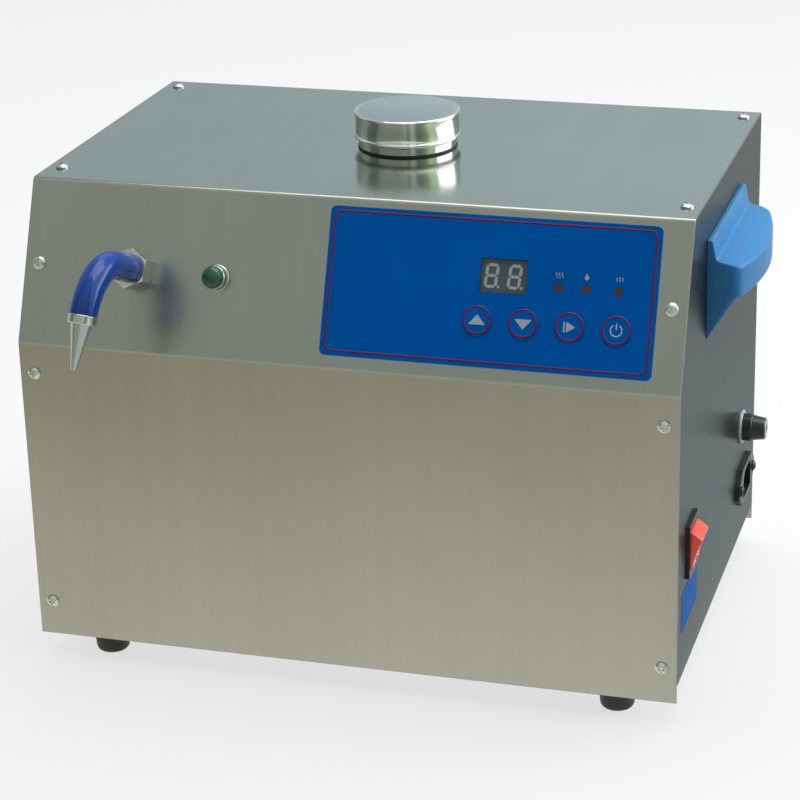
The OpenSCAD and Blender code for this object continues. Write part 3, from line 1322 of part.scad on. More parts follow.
// Wires from the inlet, the switch and the boards, each a curved bar between its ends
module wiring() color([0.7, 0.15, 0.1]) on_bench() {
    block_z = floor_z + board_rise + board_t + 6;
    wire_gap = 0.35;
    for (k = [0:2]) {
        p = pin_places[k];
        a = [side_x - inlet_depth - 8 - wire_gap, inlet_y + p[0], case_z0 + inlet_z + p[1]];
        b = [board_x + terminal_x + 6 + 8 * wire_slots[k], board_y + terminal_y + 10 + wire_gap, block_z];
        swept(curve_points(a, [-20, 0, 0], b, [0, -60, 0], 16), 2.2, 8);
    }
}

// Drain -----------------------------------------------------------------------

module at_drain(y) translate([0, y, drain_z]) rotate([-90, 0, 0]) children();

// Pipe from the boiler's lowest point, bent to the back, with its nut on the panel
module drain_pipe() color([0.75, 0.75, 0.75]) on_bench() {
    id = drain_d - 4;
    bend_z = drain_z + drain_bend;
    translate([0, cap_y, bend_z]) tube(drain_d, id, boiler_low_z - 4 - seat_gap - bend_z);
    translate([0, cap_y + drain_bend, bend_z]) rotate([90, 0, 90]) rotate(180)
        rotate_extrude(angle = 90, $fn = 120) translate([drain_bend, 0]) difference() {
            circle(d = drain_d);
            circle(d = id);
        }
    at_drain(cap_y + drain_bend) tube(drain_d, id, case_d + drain_out - cap_y - drain_bend);
    at_drain(case_d) difference() {
        hex(drain_d + 7, 6);
        translate([0, 0, -1]) cylinder(d = drain_d - 1, h = 8);
    }
}

stem_gap = 0.06;

// Ball valve at the end of the drain pipe
module drain_valve() color([0.78, 0.65, 0.35]) on_bench() difference() {
    union() {
        at_drain(case_d + drain_out + seat_gap) {
            hex(20, 8);
            cylinder(d = 18, h = valve_l - seat_gap);
            cylinder(d = 9, h = valve_l + spout_l - seat_gap);
        }
        translate([0, case_d + drain_out + valve_l / 2, drain_z]) cylinder(d = 9, h = 13);
    }
    at_drain(case_d) cylinder(d = drain_d - 6, h = 80);
    translate([0, case_d + drain_out + valve_l / 2, drain_z + 5]) cylinder(d = 5 + 2 * stem_gap, h = 9);
}

// Lever across the valve when it is shut
module drain_lever() color([0.7, 0.2, 0.15]) on_bench()
    translate([0, case_d + drain_out + valve_l / 2, drain_z + 13 + seat_gap]) {
        translate([0, 0, -7.5]) cylinder(d = 5, h = 9);
        linear_extrude(2) difference() {
            union() {
                circle(d = 14);
                translate([0, -4]) square([lever_l, 8]);
                translate([lever_l, 0]) circle(d = 8);
            }
        }
    }

// Parts -----------------------------------------------------------------------

chassis();
cover();
cover_screws();
feet();
foot_screws();
handle_right();
handle_left();
handle_screws();
overlay();
display_window();
display_module();
display_digits();
indicator_leds();
key_up();
key_down();
key_start();
key_power();
panel_board();
lamp_bezel();
lamp_lens();
back_nuts();
nozzle_nut();
nozzle_pipe();
nozzle_sleeve();
nozzle_tip();
solenoid_valve();
solenoid_coil();
steam_hose();
steam_elbow();
boiler();
boiler_top();
boiler_skirt();
skirt_bolts();
heater();
level_probe();
pressure_switch();
safety_valve();
thermostat();
filler_neck();
neck_gasket();
neck_ring();
cap_gasket();
seal_plate();
cap_insert();
cap_shell();
rocker_housing();
rocker();
fuse_holder();
fuse_cartridge();
fuse_cap();
power_inlet();
inlet_pins();
inlet_screws();
control_board();
standoffs();
transformer();
wiring();
drain_pipe();
drain_valve();
drain_lever();
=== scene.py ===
"""Finish and studio for the jewelry steam cleaner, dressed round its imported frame.

Lengths in the tables below are millimetres, because that is how the machine is
dimensioned; mm() turns them into the scene's metres.
"""

import json
import math

import bmesh
import bpy
from mathutils import Matrix, Vector


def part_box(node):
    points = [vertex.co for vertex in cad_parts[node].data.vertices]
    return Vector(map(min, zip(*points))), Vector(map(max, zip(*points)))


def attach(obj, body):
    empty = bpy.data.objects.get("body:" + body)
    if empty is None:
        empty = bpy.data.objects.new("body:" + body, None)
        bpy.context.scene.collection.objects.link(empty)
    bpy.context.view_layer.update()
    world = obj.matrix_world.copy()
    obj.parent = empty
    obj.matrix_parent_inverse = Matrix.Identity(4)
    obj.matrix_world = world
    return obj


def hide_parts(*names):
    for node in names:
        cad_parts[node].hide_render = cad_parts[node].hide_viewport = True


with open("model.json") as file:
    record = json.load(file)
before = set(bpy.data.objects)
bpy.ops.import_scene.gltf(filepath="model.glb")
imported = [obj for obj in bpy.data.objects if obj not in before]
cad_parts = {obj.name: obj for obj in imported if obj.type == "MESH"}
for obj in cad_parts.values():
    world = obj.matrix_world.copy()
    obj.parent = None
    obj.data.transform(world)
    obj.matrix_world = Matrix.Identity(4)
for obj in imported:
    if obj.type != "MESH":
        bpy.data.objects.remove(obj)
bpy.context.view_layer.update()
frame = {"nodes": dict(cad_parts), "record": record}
NODES = frame["nodes"]


# Driving sizes ---------------------------------------------------------------

def mm(value):
    return value * 0.001


FRONT_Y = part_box("cover")[0].y
SIDE_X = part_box("cover")[1].x
SLOPE_BACK = mm(35)
SLOPE_RISE = mm(82.5)
TOP_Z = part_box("cover")[1].z
FOLD_Z = TOP_Z - SLOPE_RISE
SLOPE_TILT = math.atan2(SLOPE_BACK, SLOPE_RISE)
FILM_T = 0.8
KEY_TOP = 1.3
PRINT_T = 0.05

FILM_W, FILM_H = 175.2, 78
FILM_X, FILM_V = -10.9, 6.9
STRIPE_INSET = 2.6
STRIPE_W = 1.15
STRIPE_CORNER = 4
KEY_X, KEY_V, KEY_PITCH = 72.1, 30.8, 24.2
KEY_RING_OUT, KEY_RING_IN = 7.5, 6.45
LED_X, LED_V = (113.2, 127.4, 144.3), 50.5
LED_SIGN_UP = 6.2
SIGN_ROUND = 0.3
SIGN_LINE = 0.22

CAP_Y = 136
CAP_R = 28.8
CAP_WALL = 0.8
CAP_TOP, CAP_FOOT = 20.7, 5.6
CAP_ROLL_R = 0.95
CAP_BEAD_R = 1.15

HANDLE_L, HANDLE_Y, HANDLE_Z = 104, 72, 191.5
HANDLE_H, LEDGE_FALL = 44.5, 5
HANDLE_END, HANDLE_MID = 16.2, 24
LIP_H, LIP_R = 16, 2.6
RIM_H, RIM_HOLLOW = 10, 3
RIM_FOOT, RIM_TOP = 4.6, 2.4
HANDLE_WALL = 2.8
HANDLE_CORNER = 4.5
POCKET_ROUND = 2
POCKET_OPEN = -5
BOSS_D, BOSS_OUT = 10, 11
BOSS_PLACES = ((-28, 28), (35, 28))

SWITCH_Y, SWITCH_Z = 36.25, 89.9
ROCKER_W, ROCKER_HALF, ROCKER_TIP = 19.2, 11.4, 7.5
ROCKER_PIVOT = 2
ROCKER_SWING = 34
ROCKER_BELLY_R = 6.5
ROCKER_HOLLOW = 0.75
ROCKER_PRINT_T = 0.35

LABEL_Y, LABEL_Z = (11, 55.5), (49, 71.5)
LABEL_CORNER, LABEL_T = 1.2, 0.12

FUSE_Y, FUSE_Z = 195, 93
FUSE_RING_R, FUSE_RING_HOLE, FUSE_RING_H = 9.95, 8.05, 1.5
FUSE_END_R, FUSE_END_HOLE = 5.6, 2
FUSE_END_Z, FUSE_END_T = 14.5, 0.25


# Places ----------------------------------------------------------------------

def on_slope(x, v, out=0):
    """Frame on the sloped panel: x across, y up the slope, z out of the panel."""
    tilt = Matrix.Rotation(math.pi / 2 - SLOPE_TILT, 4, "X")
    start = Matrix.Translation((mm(x), FRONT_Y, FOLD_Z))
    return start @ tilt @ Matrix.Translation((0, mm(v), mm(out)))


def on_side(y, z, out=0):
    """Frame on the right side panel: x to the back, y up, z out of the panel."""
    turn = Matrix(((0, 0, 1, 0), (1, 0, 0, 0), (0, 1, 0, 0), (0, 0, 0, 1)))
    return Matrix.Translation((SIDE_X + mm(out), FRONT_Y + mm(y), mm(z))) @ turn


def on_top(y, out=0):
    return Matrix.Translation((0, FRONT_Y + mm(y), TOP_Z + mm(out)))


# Mesh work -------------------------------------------------------------------

def piece_from(name, work, place, body):
    """Closes a bmesh drawn in millimetres into a piece that rides on a body."""
    bmesh.ops.remove_doubles(work, verts=work.verts, dist=1e-4)
    bmesh.ops.recalc_face_normals(work, faces=work.faces)
    scale = Matrix.Scale(0.001, 4)
    work.transform(place @ scale)
    mesh = bpy.data.meshes.new(name)
    work.to_mesh(mesh)
    work.free()
    mesh.shade_smooth()
    piece = bpy.data.objects.new(name, mesh)
    bpy.context.scene.collection.objects.link(piece)
    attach(piece, body)
    return piece


def sharpen(piece, degrees=32):
    piece.data.set_sharp_from_angle(angle=math.radians(degrees))


def settle(piece):
    """Applies a piece's modifiers, so that its mesh is the finished shape."""
    bpy.context.view_layer.update()
    graph = bpy.context.evaluated_depsgraph_get()
    done = bpy.data.meshes.new_from_object(piece.evaluated_get(graph))
    piece.modifiers.clear()
    piece.data = done


def arc(cx, cy, radius, start, end, steps):
    """Points along an arc, from one angle to another in degrees."""
    turns = [math.radians(start + (end - start) * k / steps) for k in range(steps + 1)]
    return [(cx + radius * math.cos(t), cy + radius * math.sin(t)) for t in turns]


def circle(radius, steps, cx=0, cy=0):
    """Points round a circle, with the first one again at the end."""
    return arc(cx, cy, radius, 0, 360, steps)


def eased(points, radii, steps=6):
    """Outline with its corners rounded, one radius for each point."""
    done = []
    count = len(points)
    for i, radius in enumerate(radii):
        here = Vector(points[i])
        if radius <= 0:
            done.append(tuple(here))
            continue
        back = (Vector(points[i - 1]) - here).normalized()
        ahead = (Vector(points[(i + 1) % count]) - here).normalized()
        half = back.angle(ahead) / 2
        start = here + back * radius / math.tan(half)
        end = here + ahead * radius / math.tan(half)
        centre = here + (back + ahead).normalized() * radius / math.sin(half)
        for k in range(steps + 1):
            spoke = (start - centre).slerp(end - centre, k / steps)
            done.append(tuple(centre + spoke.normalized() * radius))
    return done


def grid_faces(work, rows, close_rows, close_columns):
    """Joins rows of points with faces; a row of one point is a pole."""
    pairs = list(zip(rows, rows[1:]))
    if close_rows:
        pairs.append((rows[-1], rows[0]))
    for low, high in pairs:
        count = max(len(low), len(high))
        for k in range(count if close_columns else count - 1):
            after = (k + 1) % count
            corners = [low[k % len(low)], low[after % len(low)],
                       high[after % len(high)], high[k % len(high)]]
            corners = list(dict.fromkeys(corners))
            if len(corners) > 2:
                work.faces.new(corners)


def capped(work, rows):
    """Skins a solid over the rows, with a face on the first and on the last."""
    grid_faces(work, rows, False, True)
    for row in (rows[0], rows[-1]):
        work.faces.new(row)


def closed_mesh(name, work):
    """Turns a bmesh into a mesh whose faces all look outward."""
    bmesh.ops.recalc_face_normals(work, faces=work.faces)
    mesh = bpy.data.meshes.new(name)
    work.to_mesh(mesh)
    work.free()
    return mesh


def turned(name, outline, place, body, steps, ring=False):
    """Piece turned round the place's z axis from (radius, height) points."""
    work = bmesh.new()
    rows = []
    for radius, height in outline:
        if radius < 1e-6:
            rows.append([work.verts.new((0, 0, height))])
            continue
        rows.append([work.verts.new((x, y, height)) for x, y in circle(radius, steps)[:-1]])
    grid_faces(work, rows, ring, True)
    return piece_from(name, work, place, body)


def bar(name, outline, width, place, body, soft):
    """Outline in the y-z plane drawn out along x, with softened edges."""
    work = bmesh.new()
    rows = [[work.verts.new((x, y, z)) for y, z in outline] for x in (-width / 2, width / 2)]
    capped(work, rows)
    piece = piece_from(name, work, place, body)
    soften(piece, soft)
    return piece


def round_edges(piece, width, segments, degrees):
    """Adds a bevel on the edges sharper than an angle; width in the mesh's own unit."""
    rounding = piece.modifiers.new("rounded edges", "BEVEL")
    rounding.width = width
    rounding.segments = segments
    rounding.limit_method = "ANGLE"
    rounding.angle_limit = math.radians(degrees)


def soften(piece, width):
    round_edges(piece, mm(width), 4, 28)
    settle(piece)
    piece.data.shade_smooth()
    sharpen(piece, 50)


def strip(name, inner, outer, place, body, thick=PRINT_T, closed=True):
    """Printed line: the band between two outlines of as many points, a hair thick."""
    work = bmesh.new()
    loops = [(inner, 0), (outer, 0), (outer, thick), (inner, thick)]
    rows = [[work.verts.new((x, y, z)) for x, y in points] for points, z in loops]
    grid_faces(work, rows, True, closed)
    if not closed:
        for end in (0, -1):
            work.faces.new([row[end] for row in rows])
    return piece_from(name, work, place, body)


def decal(name, outline, place, body, thick=PRINT_T):
    """Printed patch with one outline, a hair thick."""
    work = bmesh.new()
    rows = [[work.verts.new((x, y, z)) for x, y in outline] for z in (0, thick)]
    capped(work, rows)
    piece = piece_from(name, work, place, body)
    sharpen(piece)
    return piece


def rectangle(x0, y0, x1, y1, radius, steps=6):
    return eased([(x0, y0), (x1, y0), (x1, y1), (x0, y1)], [radius] * 4, steps)


# Shader groups ---------------------------------------------------------------

def connect(tree, value, socket):
    if isinstance(value, bpy.types.NodeSocket):
        tree.links.new(value, socket)
    else:
        socket.default_value = value


def add(tree, kind, inputs=(), **settings):
    """Adds a node; inputs is a dict of its sockets' names or numbers."""
    made = tree.nodes.new(kind)
    for key, value in settings.items():
        setattr(made, key, value)
    for key, value in dict(inputs).items():
        connect(tree, value, made.inputs[key])
    return made


def maths(tree, operation, first, second=0.0):
    return add(tree, "ShaderNodeMath", {0: first, 1: second}, operation=operation).outputs[0]


def vectors(tree, operation, first, second=(0, 0, 0)):
    return add(tree, "ShaderNodeVectorMath", {0: first, 1: second}, operation=operation).outputs


def own_place(tree):
    return add(tree, "ShaderNodeTexCoord").outputs["Object"]


def facing(tree):
    return add(tree, "ShaderNodeNewGeometry").outputs["Normal"]


def axes_of(tree, vector):
    return add(tree, "ShaderNodeSeparateXYZ", {0: vector}).outputs


def noise(tree, place, scale, detail, roughness, distortion=0.0):
    made = add(tree, "ShaderNodeTexNoise", {"Vector": place, "Scale": scale, "Detail": detail,
                                            "Roughness": roughness, "Distortion": distortion})
    return made.outputs[0]


def blend(tree, share, first, second):
    made = add(tree, "ShaderNodeMix", data_type="RGBA")
    connect(tree, share, made.inputs["Factor"])
    connect(tree, first, made.inputs["A"])
    connect(tree, second, made.inputs["B"])
    return made.outputs["Result"]


def spread(tree, value, low, high, to_low=0.0, to_high=1.0):
    made = add(tree, "ShaderNodeMapRange", {"Value": value, "From Min": low, "From Max": high,
                                            "To Min": to_low, "To Max": to_high})
    return made.outputs["Result"]


def rgb(red, green, blue):
    return (red, green, blue, 1.0)


def dimmed(colour, share):
    return tuple(c * share for c in colour[:3]) + (1.0,)


def shader_group(name, inputs, outputs):
    """New node group with its named sockets; returns the tree and its ends."""
    tree = bpy.data.node_groups.new(name, "ShaderNodeTree")
    for label, kind, value in inputs:
        socket = tree.interface.new_socket(label, in_out="INPUT", socket_type=kind)
        socket.default_value = value
    for label, kind in outputs:
        tree.interface.new_socket(label, in_out="OUTPUT", socket_type=kind)
    return tree, tree.nodes.new("NodeGroupInput"), tree.nodes.new("NodeGroupOutput")


def make_rolled_grain():
    """Fine lines along the rolling direction, with slower bands and clouds over them."""
    tree, start, end = shader_group("rolled_grain",
                                    [("Stretch", "NodeSocketVector", (1, 1, 1))],
                                    [("Grain", "NodeSocketFloat"), ("Bands", "NodeSocketFloat"),
                                     ("Clouds", "NodeSocketFloat")])
    place = own_place(tree)
    drawn = vectors(tree, "MULTIPLY", place, start.outputs["Stretch"])[0]
    connect(tree, noise(tree, drawn, 1500, 3, 0.7), end.inputs["Grain"])
    connect(tree, noise(tree, drawn, 110, 2, 0.55), end.inputs["Bands"])
    connect(tree, noise(tree, place, 9, 2, 0.5), end.inputs["Clouds"])
    return tree


def make_eased_edge():
    """Rounds edges in the light, and masks the edges that materials paint paler: partly wear, partly a
    painted highlight.
    """
    tree, start, end = shader_group("eased_edge", [("Radius", "NodeSocketFloat", 0.0005)],
                                    [("Normal", "NodeSocketVector"), ("Wear And Highlight", "NodeSocketFloat")])
    soft = add(tree, "ShaderNodeBevel", {"Radius": start.outputs["Radius"]}, samples=4).outputs[0]
    agree = vectors(tree, "DOT_PRODUCT", soft, facing(tree))["Value"]
    connect(tree, soft, end.inputs["Normal"])
    # Edge mask: materials blend a paler colour here, as edge wear and as a painted highlight.
    connect(tree, spread(tree, agree, 0.995, 0.86), end.inputs["Wear And Highlight"])
    return tree


def make_moulded_skin():
    """Fine spark-eroded skin of a moulded plastic, with slow flow marks."""
    tree, start, end = shader_group("moulded_skin", [("Grain Size", "NodeSocketFloat", 0.4)],
                                    [("Height", "NodeSocketFloat"), ("Flow", "NodeSocketFloat")])
    place = own_place(tree)
    scale = maths(tree, "DIVIDE", 1000, start.outputs["Grain Size"])
    connect(tree, noise(tree, place, scale, 2, 0.5), end.inputs["Height"])
    connect(tree, noise(tree, place, 28, 3, 0.55), end.inputs["Flow"])
    return tree


def make_wiped_haze():
    """Faint wipe marks and finger haze that dull a polish in patches."""
    tree, start, end = shader_group("wiped_haze", [("Size", "NodeSocketFloat", 30.0)],
                                    [("Haze", "NodeSocketFloat"), ("Streaks", "NodeSocketFloat")])
    place = own_place(tree)
    scale = maths(tree, "DIVIDE", 1000, start.outputs["Size"])
    patch = noise(tree, place, scale, 3, 0.6, 0.6)
    swirl = add(tree, "ShaderNodeTexWave", {"Vector": place, "Scale": scale, "Distortion": 9, "Detail": 3})
    connect(tree, spread(tree, patch, 0.42, 0.72), end.inputs["Haze"])
    connect(tree, swirl.outputs["Fac"], end.inputs["Streaks"])
    return tree


GRAIN = make_rolled_grain()
EDGE = make_eased_edge()
SKIN = make_moulded_skin()
HAZE = make_wiped_haze()


# Materials -------------------------------------------------------------------

def use(tree, group, **inputs):
    made = tree.nodes.new("ShaderNodeGroup")
    made.node_tree = group
    for label, value in inputs.items():
        connect(tree, value, made.inputs[label.replace("_", " ")])
    return made.outputs


def finish_of(name, **plain):
    """New material with one Principled shader; plain numbers go on its own sockets."""
    material = bpy.data.materials.new(name)
    material.use_nodes = True
    tree = material.node_tree
    shader = tree.nodes["Principled BSDF"]
    for label, value in plain.items():
        shader.inputs[label.replace("_", " ")].default_value = value
    return material, tree, shader


def relief(tree, shader, height, distance, normal=None):
    bump = add(tree, "ShaderNodeBump", {"Height": height, "Distance": distance, "Strength": 1.0})
    if normal is not None:
        connect(tree, normal, bump.inputs["Normal"])
    connect(tree, bump.outputs[0], shader.inputs["Normal"])


SHEET_ROUGH, SHEET_TOP_ROUGH = 0.22, 0.12


def rolled_sheet(name, stretch, pale, dark, edge_tint, painted_fold_highlight=0.0):
    """Stainless sheet, brushed along its rolling direction and wiped clean."""
    material, tree, shader = finish_of(name, Metallic=1.0, Specular_Tint=edge_tint)
    grain = use(tree, GRAIN, Stretch=stretch)
    edge = use(tree, EDGE, Radius=mm(0.8))
    haze = use(tree, HAZE, Size=60)
    tone = maths(tree, "MULTIPLY", grain["Bands"], 0.25)
    tone = maths(tree, "ADD", tone, maths(tree, "MULTIPLY", grain["Grain"], 0.25))
    tone = maths(tree, "ADD", tone, maths(tree, "MULTIPLY", grain["Clouds"], 0.5))
    colour = blend(tree, spread(tree, tone, 0.25, 0.75), dark, pale)
    up = spread(tree, axes_of(tree, facing(tree))["Z"], 0.6, 0.95)
    # Painted highlight: a pale line painted at the height of the slope-to-front fold, on every face at that
    # height.
    rise = maths(tree, "SUBTRACT", axes_of(tree, own_place(tree))["Z"], FOLD_Z)
    fold_highlight = spread(tree, maths(tree, "ABSOLUTE", rise), mm(0.9), mm(0.3), 0.0, painted_fold_highlight)
    # Edges painted paler as wear and as a painted highlight; the fold line is a painted highlight.
    wear_and_highlight = maths(tree, "MAXIMUM", maths(tree, "MULTIPLY", edge["Wear And Highlight"], 0.12), fold_highlight)
    colour = blend(tree, wear_and_highlight, colour, rgb(0.62, 0.62, 0.58))
    connect(tree, colour, shader.inputs["Base Color"])
    dull = spread(tree, haze["Haze"], 0, 1, SHEET_ROUGH, SHEET_ROUGH + 0.04)
    dull = maths(tree, "SUBTRACT", dull, maths(tree, "MULTIPLY", up, SHEET_ROUGH - SHEET_TOP_ROUGH))
    rough = maths(tree, "ADD", dull, spread(tree, grain["Grain"], 0.3, 0.7, 0.0, 0.04))
    connect(tree, rough, shader.inputs["Roughness"])
    height = maths(tree, "ADD", grain["Grain"], maths(tree, "MULTIPLY", grain["Clouds"], 6.0))
    calm = spread(tree, up, 0, 1, 1.0, 0.3)
    relief(tree, shader, maths(tree, "MULTIPLY", height, calm), mm(0.003), edge["Normal"])
    return material


def turned_metal(name, pale, dark, smooth, rough, radius=0.3, lines=0.002):
    """Machined, plated or polished metal with wipe marks, and edges painted paler as wear and as a painted
    highlight.
    """
    material, tree, shader = finish_of(name, Metallic=1.0)
    edge = use(tree, EDGE, Radius=mm(radius))
    haze = use(tree, HAZE, Size=14)
    skin = use(tree, SKIN, Grain_Size=0.25)
    colour = blend(tree, haze["Haze"], pale, dark)
    # Edges painted paler: edge wear and a painted highlight.
    colour = blend(tree, maths(tree, "MULTIPLY", edge["Wear And Highlight"], 0.4), colour, rgb(0.9, 0.9, 0.88))
    connect(tree, colour, shader.inputs["Base Color"])
    wear_and_sheen = maths(tree, "MULTIPLY", haze["Haze"], haze["Streaks"])
    connect(tree, spread(tree, wear_and_sheen, 0, 1, smooth, rough), shader.inputs["Roughness"])
    relief(tree, shader, skin["Height"], mm(lines), edge["Normal"])
    return material


def spun_plate(name, wall, face):
    """Polished wall and rim, with a satin face that keeps its turning lines."""
    material, tree, shader = finish_of(name, Metallic=1.0)
    haze = use(tree, HAZE, Size=20)
    edge = use(tree, EDGE, Radius=mm(0.25))
    skin = use(tree, SKIN, Grain_Size=0.25)
    flat = spread(tree, axes_of(tree, facing(tree))["Z"], 0.95, 0.995)
    spoke = vectors(tree, "SUBTRACT", own_place(tree), (0, FRONT_Y + mm(CAP_Y), 0))[0]
    level = vectors(tree, "MULTIPLY", spoke, (1, 1, 0))[0]
    reach = vectors(tree, "LENGTH", level)["Value"]
    rings = add(tree, "ShaderNodeTexNoise", {"W": maths(tree, "MULTIPLY", reach, 2500), "Detail": 2},
                noise_dimensions="1D").outputs[0]
    satin = blend(tree, spread(tree, rings, 0.3, 0.7), dimmed(face, 0.94), face)
    connect(tree, blend(tree, flat, wall, satin), shader.inputs["Base Color"])
    polish = spread(tree, maths(tree, "MULTIPLY", haze["Haze"], haze["Streaks"]), 0, 1, 0.035, 0.1)
    brushed = spread(tree, rings, 0.3, 0.7, 0.2, 0.26)
    rough = add(tree, "ShaderNodeMix", {"Factor": flat, "A": polish, "B": brushed}).outputs["Result"]
    connect(tree, rough, shader.inputs["Roughness"])
    height = maths(tree, "ADD", skin["Height"], maths(tree, "MULTIPLY", rings, flat))
    relief(tree, shader, height, mm(0.0015), edge["Normal"])
    return material


def moulded(name, colour, wear_and_sheen, rough, grain_size=0.35, depth=0.012, radius=0.4, **plain):
    """Moulded plastic or rubber: flow marks, fine skin, edges painted paler as wear and as a painted
    highlight.
    """
    material, tree, shader = finish_of(name, **plain)
    skin = use(tree, SKIN, Grain_Size=grain_size)
    edge = use(tree, EDGE, Radius=mm(radius))
    haze = use(tree, HAZE, Size=18)
    flow = spread(tree, skin["Flow"], 0.3, 0.7)
    tone = blend(tree, flow, dimmed(colour, 0.88), colour)
    # The edge colour paints the edges paler: partly wear, partly a painted highlight.
    tone = blend(tree, maths(tree, "MULTIPLY", edge["Wear And Highlight"], 0.5), tone, wear_and_sheen)
    connect(tree, tone, shader.inputs["Base Color"])
    connect(tree, spread(tree, haze["Haze"], 0, 1, rough - 0.04, rough + 0.07), shader.inputs["Roughness"])
    relief(tree, shader, skin["Height"], mm(depth), edge["Normal"])
    return material


def clear_part(name, colour, rough, alpha=None, **plain):
    """Tinted clear plastic, with moulding flow in its colour and haze in its gloss."""
    material, tree, shader = finish_of(name, **plain)
    skin = use(tree, SKIN, Grain_Size=3)
    haze = use(tree, HAZE, Size=12)
    connect(tree, blend(tree, skin["Flow"], dimmed(colour, 0.8), colour), shader.inputs["Base Color"])
    connect(tree, spread(tree, haze["Haze"], 0, 1, rough, rough + 0.08), shader.inputs["Roughness"])
    if alpha is not None:
        connect(tree, spread(tree, haze["Haze"], 0, 1, alpha, alpha + 0.05), shader.inputs["Alpha"])
    relief(tree, shader, skin["Height"], mm(0.01))
    return material


def braided_hose(name):
    """Woven glass sleeve over the steam hose."""
    material, tree, shader = finish_of(name, Sheen_Weight=0.3)
    place = own_place(tree)
    weave = [add(tree, "ShaderNodeTexWave", {"Vector": place, "Scale": 180, "Distortion": 1.5},
                 bands_direction=way).outputs["Fac"] for way in ("X", "Z")]
    cross = maths(tree, "MULTIPLY", weave[0], weave[1])
    connect(tree, blend(tree, cross, rgb(0.42, 0.4, 0.34), rgb(0.78, 0.76, 0.7)), shader.inputs["Base Color"])
    connect(tree, spread(tree, cross, 0, 1, 0.85, 0.65), shader.inputs["Roughness"])
    relief(tree, shader, cross, mm(0.25))
    return material


STEEL_PALE, STEEL_DARK = rgb(0.42, 0.415, 0.375), rgb(0.35, 0.35, 0.32)
# Side panel steel: a darker copy of the cover's steel, as painted shade on the side panels.
SHADED_SIDE_PALE, SHADED_SIDE_DARK = rgb(0.33, 0.335, 0.325), rgb(0.28, 0.285, 0.275)

